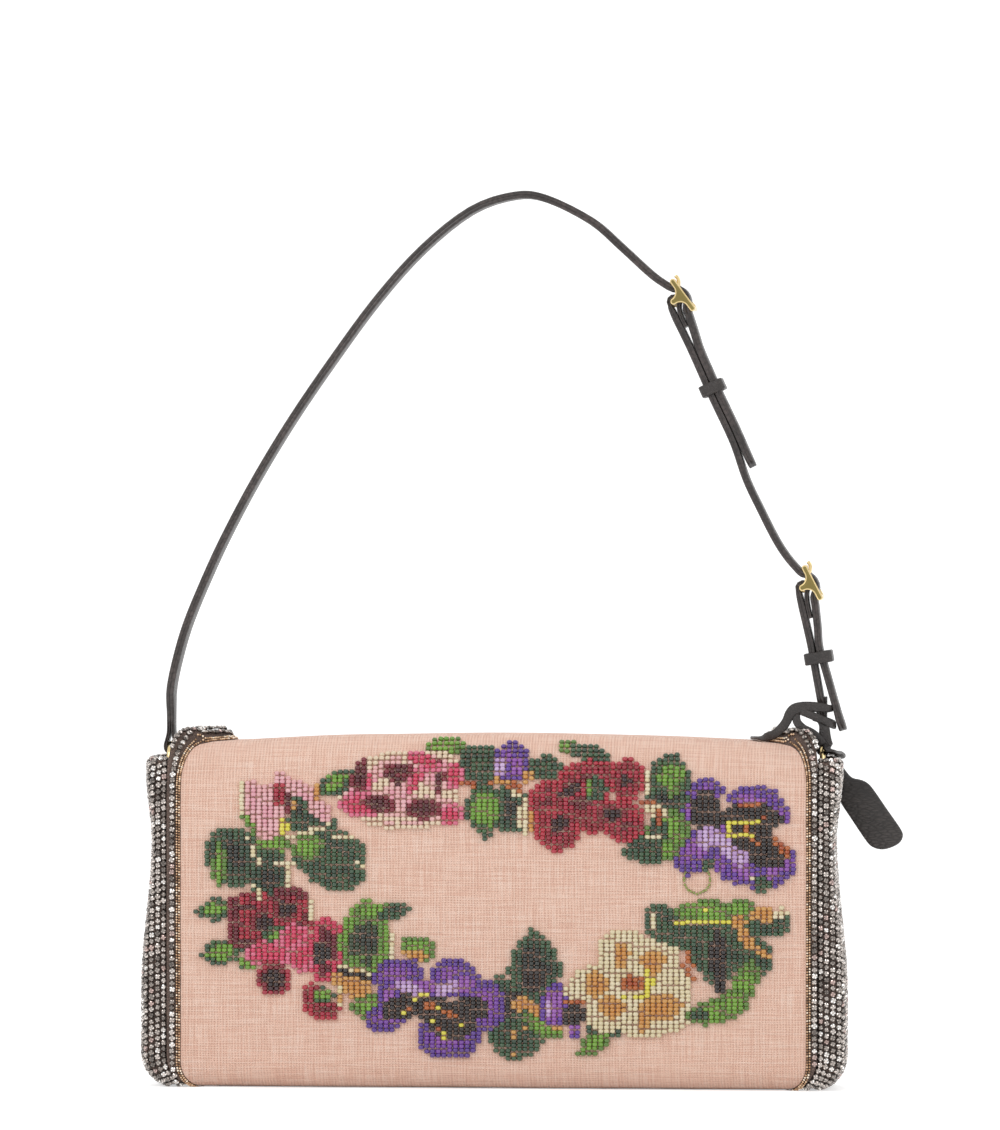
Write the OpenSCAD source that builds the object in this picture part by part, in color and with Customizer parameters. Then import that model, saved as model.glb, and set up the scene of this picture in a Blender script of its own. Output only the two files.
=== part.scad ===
// Shoulder bag: a soft rectangular body with crystal sides, a fold-over flap and an adjustable
// leather strap with two buckles. X runs along the bag, Y from the embroidered back towards the
// flap's front, Z up. The origin is the middle of the flat bottom.

/* [Body] */
// Width of the linen panel between its bead trims
panel_w = 237.2; // [200:0.2:280]
// Height of the body at its top fold
body_h = 134; // [115:1:160]
// Distance of the back face from the middle
back_y = 25; // [20:0.5:32]
// Distance of the front panel's face from the middle
front_y = 22.5; // [18:0.5:30]
// How far the front panel's top edge lies below the sides' top edge
front_drop = 7.2; // [6:0.2:20]
// Radius of the bottom edges
bottom_r = 9; // [6:0.5:12]
// Thickness of the linen with its stiffener
shell_t = 2; // [1.6:0.1:2.6]
// Thickness of the lining cloth
lining_t = 0.8; // [0.5:0.1:1.2]
// How far the lining's top edge lies below the sides' top edge
lining_drop = 8.2; // [8:0.2:24]
// Space between two layers of cloth
ply_gap = 0.2; // [0.1:0.05:0.4]
// Thickness of the stiffening board in the bottom
board_t = 1.6; // [1:0.1:2.4]

/* [Roll over the top] */
// How far the back rolls inwards to the top fold
roll_in = 16; // [12:0.5:20]
// Height over which the back rolls
roll_h = 28; // [20:0.5:34]
// Direction around the roll where the flap starts to bend, in degrees
hinge_angle = 135; // [125:1:145]

/* [Sides] */
// Half the length of the bag at the sides' top edge
side_top_x = 131.8; // [126:0.2:150]
// Half the length at the sides' waist
side_waist_x = 130.2; // [126:0.2:150]
// Half the length at the sides' bottom bulge
side_low_x = 134.4; // [126:0.2:155]
// How far the sides' top edge lies below the top fold
side_drop = 9.8; // [8:0.2:16]
// Radius of the sides' bottom corner
side_r = 13; // [9:0.5:18]
// How far the crystals stand above the cloth
crystal_h = 1.3; // [0.8:0.1:1.8]
// Width of the crystal band outside the bead trim
band_w = 4.8; // [3:0.1:6]
// Width of the double row of trim beads
trim_w = 1.8; // [1.2:0.1:2.4]
// How far the trim beads stand above the cloth
trim_h = 0.9; // [0.5:0.1:1.3]
// Half the length of a beaded flower
flower_r = 22; // [16:0.5:24]
// How far the beadwork stands above the linen
bead_h = 1.3; // [0.8:0.1:1.3]

/* [Flap] */
// Distance of the flap's front face from the middle
flap_y = 27.5; // [27:0.5:32]
// Height of the flap's lower edge
flap_low = 27; // [15:1:60]
// Half width of the flap at its lower edge
flap_x = 107; // [90:0.5:110]
// Half width of the flap where it starts
flap_root_x = 121.5; // [112:0.5:122]
// Radius of the flap's lower corners
flap_r = 14; // [8:0.5:24]
// Thickness of the flap's linen with its stiffener
flap_t = 1.6; // [1.2:0.1:2]

/* [Strap] */
// Width of the strap
strap_w = 12; // [10:0.5:14]
// Thickness of the strap
strap_t = 2.6; // [2.2:0.1:3]
// Thickness of the strap where it is pared down to fold back
fold_t = 1.5; // [1.2:0.1:1.7]
// Width of the strap where it folds round a ring
strap_end_w = 7; // [6:0.5:7.5]
// Distance between the two strap rings
ring_span = 249.2; // [235:0.2:270]
// Height of the strap's top above the rings' centres
strap_rise = 215.6; // [180:0.2:260]
// Gap left where leather lies against leather or metal
leather_gap = 0.15; // [0.1:0.05:0.2]
// Space under the free end of the long strap at its tip
long_tail_lift = 1.1; // [0:0.1:2]
// How far the middle strap's free end stands away at its tip
middle_tail_lift = 4.7; // [3.4:0.1:5]

/* [Rings and tabs] */
// How far the rings' centres lie below the sides' top edge
ring_drop = 1; // [0.4:0.2:3]
// Radius of a ring to the middle of its wire
ring_r = 6.5; // [6:0.1:7]
// Radius of a ring's wire
ring_wire_r = 1.1; // [0.9:0.05:1.2]
// Width of the leather tab that holds a ring
tab_w = 5; // [4:0.5:5.5]
// Thickness of the tab's leather
tab_t = 1.2; // [1:0.1:1.4]
// Length of the tab below its ring
tab_l = 16; // [12:0.5:20]

/* [Buckles] */
// Distance between a buckle's two end bars
buckle_l = 12.6; // [12:0.1:14]
// Radius of a buckle's end bars
bar_r = 1.05; // [0.9:0.05:1.2]
// Radius of a buckle's middle bar
pivot_r = 1.2; // [1:0.05:1.3]
// Depth of the middle bar below the end bars
pivot_drop = 4.2; // [4:0.1:5]
// Thickness of a buckle's side plate
plate_t = 1.4; // [1.2:0.1:1.8]
// Radius of the curves between a side plate's arms and its stem
plate_fillet = 3; // [2.5:0.1:3.5]
// Width of the raised rim round a side plate's face
rim_w = 0.45; // [0.35:0.05:0.55]
// Depth of a side plate's sunk face
rim_d = 0.3; // [0.2:0.05:0.5]
// Width of a prong
prong_w = 1.8; // [1.4:0.1:2]
// Thickness of a prong
prong_t = 1.3; // [1.1:0.1:1.4]

/* [Keepers] */
// Thickness of a keeper loop's leather
keeper_t = 1.5; // [1.2:0.1:1.8]
// Width of a keeper loop along the strap
keeper_w = 4.5; // [4:0.1:6]
// Play of the straps inside a keeper loop
keeper_play = 0.5; // [0.4:0.05:0.9]
// Extra room in the lower keeper for the free end that leans away
keeper_lift = 1.2; // [1:0.1:1.6]

/* [Tag] */
// Width of the tag
tag_w = 13.3; // [11:0.1:15]
// Length of the tag's wide part
tag_l = 30; // [24:0.5:36]
// Thickness of the tag
tag_t = 1.8; // [1.4:0.1:2.2]
// Slope of the hanging tag, in degrees below level
tag_angle = 56; // [50:1:62]
// Width of the tag's thong
thong_w = 4.6; // [4:0.1:5]
// Thickness of the thong
thong_t = 1.5; // [1.2:0.1:1.8]

/* [Fittings] */
// Height of the magnetic snap above the flap's lower edge
snap_rise = 29; // [20:1:50]
// Radius of the snap's socket
snap_r = 8.5; // [7:0.5:10]
// Thickness of the snap's socket
snap_t = 1.8; // [1.5:0.1:1.9]
// Length of the inner zip pocket
pocket_w = 150; // [110:1:190]
// How far the zip lies below the lining's top edge
zip_drop = 19; // [16:1:40]
// Height of the inner pocket's lower edge
pocket_low = 23; // [12:1:40]

/* [Hidden] */

$fn = 48;
linen = "#E9C1AC";
crystal = "#8E8790";
gold = "#D9BC7A";
glass_beads = "#7A4468";
leather = "#2E2826";
satin = "#D8CFC6";
metal = "#C9CBD0";

// Overrun of every cut
cut = 1;
// Steps along a rolled edge, round a corner and across a side's bulge
roll_steps = 8;
corner_steps = 6;
bulge_steps = 14;
// Steps between two of the strap's guide points, and round a buckle bar
strap_steps = 4;
bar_steps = 5;

half_w = panel_w / 2;
side_h = body_h - side_drop;
front_h = side_h - front_drop;
lining_h = side_h - lining_drop;
ring_z = side_h - ring_drop;
zip_z = lining_h - zip_drop;
snap_z = flap_low + snap_rise;
// Corners of the linen panel, of the band round it and of the flap, as half axes across and up
low_corner_share = 0.0675;
top_corner_share = 0.0995;
low_corner = [half_w * low_corner_share, bottom_r * 1.1];
top_corner = [half_w * top_corner_share, body_h * 0.27];
band_x = half_w + band_w;
band_low_corner = low_corner + [side_r, side_r] * 0.2;
band_top_corner = [side_r, side_r * 1.08];
band_top = side_h + side_r * 0.93;

// A slant or a curve from one place to another
function turned(p) = [for (i = [len(p) - 1:-1:0]) p[i]];
function inner(p) = [for (i = [1:len(p) - 2]) p[i]];
function part_of(p, from, to) = [for (i = [from:to]) p[i]];
function mix(a, b, t) = a + (b - a) * t;
function ease(t) = (1 - cos(180 * t)) / 2;
function ellipse(c, r, from, to, n) = [
    for (i = [0:n]) let (t = mix(from, to, i / n)) [c[0] + r[0] * cos(t), c[1] + r[1] * sin(t)]
];
function heading(p, i) = let (d = p[min(i + 1, len(p) - 1)] - p[max(i - 1, 0)]) d / norm(d);
function left_of(d) = [-d[1], d[0]];
function at(s, i) = is_list(s) ? s[i] : s;
function moved(p, s) = [for (i = [0:len(p) - 1]) p[i] + at(s, i) * left_of(heading(p, i))];
function ribbon(p, near, far) = concat(moved(p, near), turned(moved(p, far)));
function curve(p, n) = concat([
    for (i = [0:len(p) - 2], k = [0:n - 1])
        let (t = k / n, a = p[max(i - 1, 0)], b = p[i], c = p[i + 1], d = p[min(i + 2, len(p) - 1)])
        (2 * b + (c - a) * t + (2 * a - 5 * b + 4 * c - d) * t * t + (3 * b - a - 3 * c + d) * t * t * t) / 2
], [p[len(p) - 1]]);

// Extrudes a shape drawn in Y and Z along X, one drawn in X and Z along Y
module along_x(from, to) {
    translate([from, 0, 0]) rotate([90, 0, 90]) linear_extrude(to - from) children();
}
module along_y(from, to) {
    translate([0, to, 0]) rotate([90, 0, 0]) linear_extrude(to - from) children();
}

// Paths of the cloth's outer face in Y and Z; a positive shift lies outside
back_path = concat(
    ellipse([bottom_r - back_y, bottom_r], [bottom_r, bottom_r], 270, 180, corner_steps),
    ellipse([roll_in - back_y, body_h - roll_h], [roll_in, roll_h], 180, hinge_angle, roll_steps)
);
front_path = concat(
    [[front_y, front_h]],
    ellipse([front_y - bottom_r, bottom_r], [bottom_r, bottom_r], 0, -90, corner_steps)
);
flap_roll = flap_y * 0.64;
hinge_gap_angle = 1.5;
flap_start_angle = hinge_angle - hinge_gap_angle;
flap_path = concat(
    ellipse([roll_in - back_y, body_h - roll_h], [roll_in, roll_h], flap_start_angle, 90, roll_steps),
    ellipse([flap_y - flap_roll, body_h - flap_roll], [flap_roll, flap_roll], 88, 0, roll_steps),
    [[flap_y, flap_low]]
);
// The flap turns about a line just outside the crystals
hinge_line = let (i = len(back_path) - 1)
    back_path[i] + (crystal_h + ply_gap) * left_of(heading(back_path, i));

// Depth of the body behind and in front of the middle at a height
function back_depth(z) = z < bottom_r
    ? back_y - bottom_r + sqrt(max(0, bottom_r * bottom_r - (bottom_r - z) * (bottom_r - z)))
    : z < body_h - roll_h ? back_y
    : back_y - roll_in + roll_in * sqrt(max(0, 1 - pow((z - body_h + roll_h) / roll_h, 2)));
function front_depth(z) = z < bottom_r
    ? front_y - bottom_r + sqrt(max(0, bottom_r * bottom_r - (bottom_r - z) * (bottom_r - z)))
    : front_y;

// Right half of an outline in X and Z, from the bottom to the top, grown outwards
function half_outline(w, low, top, top_z, grow) =
    let (start = asin(low[1] / (low[1] + grow)))
    concat(
        ellipse([w - low[0], low[1]], low + [grow, grow], -start, 0, corner_steps),
        ellipse([w - top[0], top_z - top[1]], top + [grow, grow], 0, 90, roll_steps)
    );
function both_sides(p) = concat(p, turned([for (q = p) [-q[0], q[1]]]));
module panel_shape(grow) {
    polygon(both_sides(half_outline(half_w, low_corner, top_corner, body_h, grow)));
}
module band_shape() {
    polygon(both_sides(half_outline(band_x, band_low_corner, band_top_corner, band_top, 0)));
}
module one_side(side) {
    intersection() {
        children();
        translate([side * band_x, 0]) square([band_x * 2 - cut, body_h * 4], center = true);
    }
}
reach_y = max(back_y, flap_y) * 2;

// Panels of linen on the body
module back_panel() {
    color(linen) intersection() {
        along_x(-half_w - cut, half_w + cut) polygon(ribbon(back_path, 0, -shell_t));
        along_y(-reach_y, reach_y) panel_shape(0);
    }
}
module front_panel() {
    color(linen) difference() {
        intersection() {
            along_x(-half_w - cut, half_w + cut) polygon(ribbon(front_path, 0, -shell_t));
            along_y(-reach_y, reach_y) panel_shape(0);
        }
        snap_legs(leather_gap);
        snap_pocket();
    }
}
bottom_x = band_x - band_low_corner[0] - ply_gap;
end_gap = ply_gap * 3;
module bottom_panel() {
    back = back_y - bottom_r - end_gap;
    front = front_y - bottom_r - end_gap;
    color(linen) translate([-bottom_x, -back, 0]) cube([bottom_x * 2, back + front, shell_t]);
}
board_inset = shell_t + ply_gap;
module base_board() {
    back = back_y - bottom_r - end_gap;
    front = front_y - bottom_r - end_gap;
    color("tan") translate([board_inset - bottom_x, -back, board_inset])
        cube([(bottom_x - board_inset) * 2, back + front, board_t]);
}

// Crystal bands and bead trims along the edges of the back and front panels
module edge_strip(path, side, low, high, from, to) {
    intersection() {
        along_x(side < 0 ? -band_x - cut : 0, side < 0 ? 0 : band_x + cut) polygon(ribbon(path, high, low));
        along_y(-reach_y, reach_y) one_side(side) difference() {
            intersection() {
                band_shape();
                panel_shape(to);
            }
            panel_shape(from);
        }
    }
}
trim_in = ply_gap;
trim_out = trim_in + trim_w;
band_in = trim_out + ply_gap;
module edge_band(path, side) {
    color(crystal) edge_strip(path, side, -shell_t, crystal_h, band_in, band_w * 3);
}
module edge_trim(path, side) {
    color(gold) edge_strip(path, side, -trim_h, trim_h, trim_in, trim_out);
}

// Beaded flowers and leaves in a wreath on the back. Each row is its place across and up the panel, its half
// length and half height as shares of flower_r, then its number of petals or its turn in degrees.
flower_shares = [
    [-0.29, 0.825, 1.22, 0.7, 8], [0.31, 0.8, 1.24, 0.8, 8], [0.785, 0.71, 1, 0.86, 5],
    [-0.665, 0.8, 0.78, 0.76, 6], [-0.665, 0.425, 1.12, 0.95, 8], [-0.165, 0.235, 1.1, 0.8, 6],
    [0.46, 0.3, 1.06, 0.82, 8]
];
leaf_shares = [
    [-0.8, 0.65, 0.72, 0.66, -65], [-0.53, 0.66, 0.8, 0.56, -14], [-0.385, 0.43, 0.95, 0.62, 80],
    [0.14, 0.29, 1.1, 0.72, 86], [-0.03, 0.82, 0.74, 0.68, 90], [0.555, 0.79, 0.88, 0.52, 92],
    [0.7, 0.475, 1, 0.36, 0], [0.8, 0.365, 0.86, 0.38, 72], [0.7, 0.225, 0.62, 0.26, 10],
    [0.35, 0.165, 0.44, 0.24, 32]
];
petal_steps = 6;
petal_dip_share = 0.8;
function on_panel(share) = [share[0] * half_w, share[1] * body_h];
function flower_outline(share) = let (petals = share[4])
    [for (i = [0:petals * petal_steps - 1])
        let (a = 360 * i / (petals * petal_steps), r = mix(petal_dip_share, 1, abs(cos(petals * a / 2))))
        on_panel(share) + flower_r * r * [share[2] * cos(a), share[3] * sin(a)]];
function leaf_outline(share) = let (along = [cos(share[4]), sin(share[4])])
    [for (side = [1, -1], i = [0:petal_steps - 1])
        let (t = side * mix(-1, 1, i / petal_steps), w = side * (1 - t * t))
        on_panel(share) + flower_r * (along * share[2] * t + left_of(along) * share[3] * w)];
module beadwork() {
    color(glass_beads) intersection() {
        along_x(-half_w, half_w) polygon(ribbon(back_path, bead_h, ply_gap));
        union() {
            for (share = flower_shares) along_y(-reach_y, 0) polygon(flower_outline(share));
            for (share = leaf_shares) along_y(-reach_y, 0) polygon(leaf_outline(share));
        }
    }
}

// Crystal-covered sides: a bulging wall lofted through level rings
side_t = shell_t + crystal_h;
seam_in = crystal_h / 2;
low_end_share = 0.3;
waist_share = 0.8;
function side_x(z) = z < side_r ? side_low_x - side_r + sqrt(max(0, side_r * side_r - pow(side_r - z, 2)))
    : z < side_h * low_end_share ? side_low_x
    : z < side_h * waist_share
        ? mix(side_low_x, side_waist_x, ease((z / side_h - low_end_share) / (waist_share - low_end_share)))
    : mix(side_waist_x, side_top_x, ease(min(1, (z / side_h - waist_share) / (1 - waist_share))));
function edge_x(z) = band_x + ply_gap - band_low_corner[0]
    * (z < band_low_corner[1] ? 1 - sqrt(1 - pow(1 - z / band_low_corner[1], 2)) : 0);
bulge_share = 0.8;
function side_ring(z, in_x, in_y, open) =
    let (back = back_depth(z) - in_y, front = front_depth(z) - in_y, x = edge_x(z) - open)
    [for (i = [0:bulge_steps])
        let (a = mix(-90, 90, i / bulge_steps))
        [x + (side_x(z) - in_x - x) * pow(max(0, cos(a)), bulge_share),
         (front - back) / 2 + (front + back) / 2 * sin(a), z]];
module loft(rings) {
    n = len(rings[0]);
    m = len(rings);
    polyhedron(
        points = [for (r = rings, p = r) p],
        faces = concat(
            [[for (i = [0:n - 1]) i]],
            [[for (i = [n - 1:-1:0]) (m - 1) * n + i]],
            [for (j = [0:m - 2], i = [0:n - 1], half = [0, 1])
                let (a = j * n + i, b = a + n, c = j * n + (i + 1) % n + n, d = c - n)
                half == 0 ? [a, b, c] : [a, c, d]]
        )
    );
}
side_steps = 8;
function side_levels(low, high) = concat(
    [for (i = [0:corner_steps - 1]) low + (side_r - low) * (1 - cos(90 * i / corner_steps))],
    [for (i = [0:side_steps]) mix(side_r, high, i / side_steps)]
);
module side_wall(in_x, in_y, wall, low, high) {
    difference() {
        loft([for (z = side_levels(low, high)) side_ring(z, in_x, in_y, 0)]);
        loft([for (z = side_levels(low + wall, high + cut)) side_ring(z, in_x + wall, in_y + wall, cut)]);
    }
}
module gusset() {
    color(crystal) side_wall(0, seam_in, side_t, 0, side_h);
}
side_lining_in = side_t + ply_gap;
module side_lining() {
    in_y = seam_in + side_lining_in + ply_gap * 12;
    color(satin) side_wall(side_lining_in, in_y, lining_t, side_lining_in, lining_h);
}

// Lining of the back, the front and the bottom
lining_in = shell_t + ply_gap;
lining_face_y = lining_in + lining_t;
module wall_lining(path) {
    color(satin) intersection() {
        along_x(-band_x - cut, band_x + cut) polygon(ribbon(path, -lining_in, -lining_face_y));
        along_y(-reach_y, reach_y) intersection() {
            band_shape();
            translate([0, lining_h / 2]) square([band_x * 3, lining_h], center = true);
        }
    }
}
floor_reach = bottom_r / 3;
module lining_bottom() {
    back = back_y - bottom_r + floor_reach;
    front = front_y - bottom_r + floor_reach;
    half = edge_x(side_lining_in) - ply_gap;
    color(satin) translate([-half, -back, lining_in + board_t + ply_gap])
        cube([half * 2, back + front, lining_t]);
}

// Strap rings, and the leather tabs that hold them inside the sides
ring_x = ring_span / 2;
eye_r = ring_wire_r + leather_gap;
module ring() {
    color(gold) translate([ring_x, 0, ring_z]) rotate([0, 90, 0]) rotate_extrude()
        translate([ring_r, 0]) circle(ring_wire_r);
}
// Upright slot, drawn in X and Z, that the ring's wire runs through within a strip of leather
function wire_low(width) = sqrt(pow(ring_r - ring_wire_r, 2) - width * width / 4) - leather_gap;
wire_high = ring_r + ring_wire_r + leather_gap;
module wire_slot(width, wall) {
    low = wire_low(width) + eye_r;
    high = wire_high - eye_r;
    translate([0, low]) circle(eye_r + wall);
    translate([0, high]) circle(eye_r + wall);
    translate([-eye_r - wall, min(low, high)]) square([(eye_r + wall) * 2, abs(high - low)]);
}
module ring_tab() {
    low_z = ring_z - wire_high - tab_l;
    low_x = side_x(low_z) - side_lining_in - lining_t - ply_gap - tab_t;
    top_z = ring_z - wire_high;
    color(leather) along_y(-tab_w / 2, tab_w / 2) difference() {
        union() {
            translate([ring_x, ring_z]) mirror([0, 1]) wire_slot(tab_w, tab_t);
            polygon([[low_x - tab_t, low_z], [low_x + tab_t, low_z],
                [ring_x + tab_t, top_z], [ring_x - tab_t, top_z]]);
        }
        translate([ring_x, ring_z]) mirror([0, 1]) wire_slot(tab_w, 0);
    }
}

// Magnetic snap under the flap
leg_w = snap_r * 0.36;
leg_t = snap_t * 0.45;
leg_x = snap_r * 0.55;
washer_t = shell_t * 0.25;
washer_r = snap_r * 0.85;
well_r = snap_r * 0.46;
well_d = snap_t * 0.75;
stud_r = snap_r * 0.3;
stud_face = flap_y - flap_t - ply_gap - lining_t;
stud_t = stud_face - front_y - snap_t - ply_gap;
module disc(r, from, to) {
    translate([0, from, snap_z]) rotate([-90, 0, 0]) cylinder(r = r, h = to - from);
}
module snap_legs(gap) {
    for (side = [-1, 1])
        translate([side * leg_x - leg_t / 2 - gap, front_y - shell_t - gap, snap_z - leg_w / 2 - gap])
            cube([leg_t + gap * 2, shell_t + snap_t / 4 + gap, leg_w + gap * 2]);
}
module snap_pocket() {
    disc(washer_r + ply_gap, front_y - shell_t - cut, front_y - shell_t + washer_t + leather_gap / 2);
}
module snap_socket() {
    color(gold) {
        difference() {
            disc(snap_r, front_y, front_y + snap_t);
            disc(well_r, front_y + snap_t - well_d, front_y + snap_t + cut);
        }
        snap_legs(0);
    }
}
module snap_washer() {
    color(metal) difference() {
        disc(washer_r, front_y - shell_t, front_y - shell_t + washer_t);
        snap_legs(leather_gap);
    }
}
module snap_stud() {
    color(gold) {
        disc(snap_r, stud_face - stud_t, stud_face);
        disc(stud_r, front_y + snap_t - well_d + leather_gap * 2, stud_face - stud_t / 2);
    }
}

// Inner zip pocket on the back lining
chain_half = 1.75;
tooth_z = 0.7;
tape_half = 0.25;
slider_half = 2.6;
slider_l = 8.5;
slider_t = 0.8;
chain_gap = 0.45;
rail_w = 0.5;
zip_pitch = 3.2;
zip_margin = 5;
zip_play = 0.25;
pull_pin_r = 0.5;
pull_play = 0.06;
lug_t = 1.4;
lug_l = 3;
pull_l = 15;
pull_half = 2;
zip_back_y = -(back_y - lining_face_y);
zip_y = zip_back_y + zip_play + slider_half;
pocket_face_y = zip_y + slider_half + zip_play;
chain_l = pocket_w - zip_margin * 2;
module pocket_panel() {
    low = pocket_low;
    high = zip_z - tape_half - ply_gap / 2;
    back = zip_back_y + ply_gap;
    color(satin) difference() {
        translate([-pocket_w / 2, back, low]) cube([pocket_w, pocket_face_y + lining_t - back, high - low]);
        translate([lining_t - pocket_w / 2, back - cut, low + lining_t])
            cube([pocket_w - lining_t * 2, pocket_face_y - back + cut, high - low + cut]);
    }
}
module zip_tape() {
    color(satin) {
        translate([-chain_l / 2, zip_back_y + ply_gap, zip_z - tape_half])
            cube([chain_l, zip_y - chain_half - zip_back_y - ply_gap, tape_half * 2]);
        translate([-chain_l / 2, zip_y + chain_half, zip_z - tape_half])
            cube([chain_l, pocket_face_y + lining_t - zip_y - chain_half, tape_half * 2]);
    }
}
module zip_row(side, shift) {
    y = side < 0 ? zip_y - chain_half : zip_y + chain_half - rail_w;
    translate([-chain_l / 2, y, zip_z - tooth_z]) cube([chain_l, rail_w, tooth_z * 2]);
    tooth_y = side < 0 ? zip_y - chain_half : zip_y + chain_gap;
    for (x = [shift - chain_l / 2:zip_pitch:chain_l / 2 - zip_pitch / 2])
        translate([x, tooth_y, zip_z - tooth_z])
            cube([zip_pitch * 0.45, chain_half - chain_gap, tooth_z * 2]);
}
module zip_teeth() {
    color(gold) {
        zip_row(-1, 0);
        zip_row(1, zip_pitch / 2);
    }
}
slider_x = chain_l / 2 - slider_l;
plate_z = tooth_z + zip_play;
lug_z = zip_z + plate_z + slider_t + pull_pin_r + zip_play * 2;
module zip_slider() {
    color(gold) translate([slider_x, 0, 0]) {
        for (side = [-1, 1]) translate([-slider_l / 2, zip_y - slider_half,
            zip_z + (side > 0 ? plate_z : -plate_z - slider_t)]) cube([slider_l, slider_half * 2, slider_t]);
        translate([slider_l / 4, zip_y - chain_gap / 2, zip_z - plate_z - slider_t / 2])
            cube([slider_l / 5, chain_gap, plate_z * 2 + slider_t]);
        difference() {
            translate([-lug_l / 2, zip_y - lug_t / 2, zip_z + plate_z + slider_t / 2])
                cube([lug_l, lug_t, lug_z - zip_z - plate_z - slider_t / 2 + pull_pin_r * 2]);
            translate([0, zip_y - lug_t, lug_z]) rotate([-90, 0, 0])
                cylinder(r = pull_pin_r + pull_play, h = lug_t * 2);
        }
    }
}
module zip_pull() {
    cheek = (pull_half - lug_t / 2 - zip_play);
    reach = lug_l * 0.75;
    color(gold) translate([slider_x, zip_y, lug_z]) {
        rotate([90, 0, 0]) cylinder(r = pull_pin_r, h = pull_half * 2 - cheek, center = true);
        for (side = [-1, 1]) translate([-reach, side < 0 ? -pull_half : pull_half - cheek, -pull_pin_r])
            cube([reach + pull_pin_r, cheek, pull_pin_r * 2]);
        translate([-pull_l, -pull_half, -pull_pin_r]) cube([pull_l - reach, pull_half * 2, pull_pin_r * 2]);
    }
}

// Flap: outlines from above and from the front, drawn in from its outer edge
flap_taper = back_y * 0.92;
flap_band_w = band_w - trim_w / 3;
flap_trim_in = flap_band_w + ply_gap;
flap_linen_in = flap_trim_in + trim_w + ply_gap;
module flap_mask(in) {
    y = hinge_line[0];
    intersection() {
        linear_extrude(body_h * 2) polygon(both_sides([
            [flap_root_x - in, -reach_y], [flap_root_x - in, y],
            [flap_x - in, y + flap_taper], [flap_x - in, reach_y]
        ]));
        along_y(-reach_y, reach_y) polygon(both_sides(concat(
            ellipse([flap_x - flap_r, flap_low + flap_r], [flap_r - in, flap_r - in], -90, 0, corner_steps),
            [[band_x, flap_low + flap_r], [band_x, body_h * 2]]
        )));
    }
}
module flap_layer(near, far, in_from, in_to) {
    difference() {
        intersection() {
            along_x(-band_x, band_x) polygon(ribbon(flap_path, near, far));
            flap_mask(in_from);
        }
        if (in_to > 0) flap_mask(in_to);
    }
}
module flap_panel() {
    color(linen) flap_layer(0, -flap_t, flap_linen_in, 0);
}
module flap_band() {
    color(crystal) flap_layer(crystal_h, -flap_t, 0, flap_band_w);
}
module flap_trim() {
    color(gold) flap_layer(trim_h, -trim_h, flap_trim_in, flap_trim_in + trim_w);
}
module flap_lining() {
    color(satin) flap_layer(-flap_t - ply_gap, -flap_t - ply_gap - lining_t, ply_gap, 0);
}

// Strap: guide points across and up, as shares of half the ring span and of the strap's rise
long_shares = [
    [-1, 0.0371], [-1, 0.078], [-1, 0.124], [-0.984, 0.173], [-0.953, 0.236], [-0.905, 0.305],
    [-0.835, 0.393], [-0.737, 0.499], [-0.626, 0.604], [-0.5, 0.71], [-0.364, 0.816],
    [-0.225, 0.905], [-0.076, 0.973], [0.056, 0.999], [0.154, 0.994], [0.293, 0.954],
    [0.385, 0.908], [0.4775, 0.859]
];
middle_shares = [
    [0.597, 0.728], [0.662, 0.644], [0.726, 0.565], [0.766, 0.499], [0.811, 0.444],
    [0.856, 0.393], [0.892, 0.361]
];
short_shares = [[0.961, 0.213], [0.976, 0.165], [0.997, 0.095], [1, 0.064], [1, 0.0371]];
buckle_shares = [[0.574, 0.823], [0.969, 0.317]];
function strap_points(shares) = [for (s = shares) [s[0] * ring_x, ring_z + s[1] * strap_rise]];
function last(p) = p[len(p) - 1];
function slope(a, b) = atan2(b[1] - a[1], b[0] - a[0]);
long_points = strap_points(long_shares);
middle_points = strap_points(middle_shares);
short_points = strap_points(short_shares);
buckle_at = strap_points(buckle_shares);
// How far each buckle leans out from the strap's run
lean_angles = [8.6, 12.1];
buckle_angles = [
    slope(last(long_points), middle_points[0]) + lean_angles[0],
    slope(last(middle_points), short_points[0]) + lean_angles[1]
];
// A buckle's own directions: first along its side plates, then outwards
function place(b, p) = let (t = buckle_angles[b], u = [cos(t), sin(t)])
    buckle_at[b] + p[0] * u + p[1] * left_of(u);
module in_frame(o, tilt) {
    translate([o[0], 0, o[1]]) rotate([0, -tilt, 0]) children();
}
module in_buckle(b) {
    in_frame(buckle_at[b], buckle_angles[b]) children();
}

// The strap passes under a buckle's first end bar, over the prong's bar and under the last end bar
weave_rise = bar_r * 0.71;
weave_r = bar_r + leather_gap + strap_t / 2;
weave_half = buckle_l / 2;
weave_drop = (pow(weave_half, 2) - pow(weave_rise + weave_r, 2)) / (2 * (weave_rise + weave_r));
hump_r = weave_drop + weave_rise;
weave_angle = atan2(weave_drop, weave_half);
weave_in_angle = 14;
weave_out_angle = -12.8;
weave = concat(
    ellipse([-weave_half, 0], [weave_r, weave_r], weave_in_angle - 90, -weave_angle, bar_steps),
    inner(ellipse([0, -weave_drop], [hump_r, hump_r], 180 - weave_angle, weave_angle, bar_steps * 2)),
    ellipse([weave_half, 0], [weave_r, weave_r], 180 + weave_angle, 270 + weave_out_angle, bar_steps)
);
function woven(b) = [for (p = weave) place(b, p)];

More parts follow.
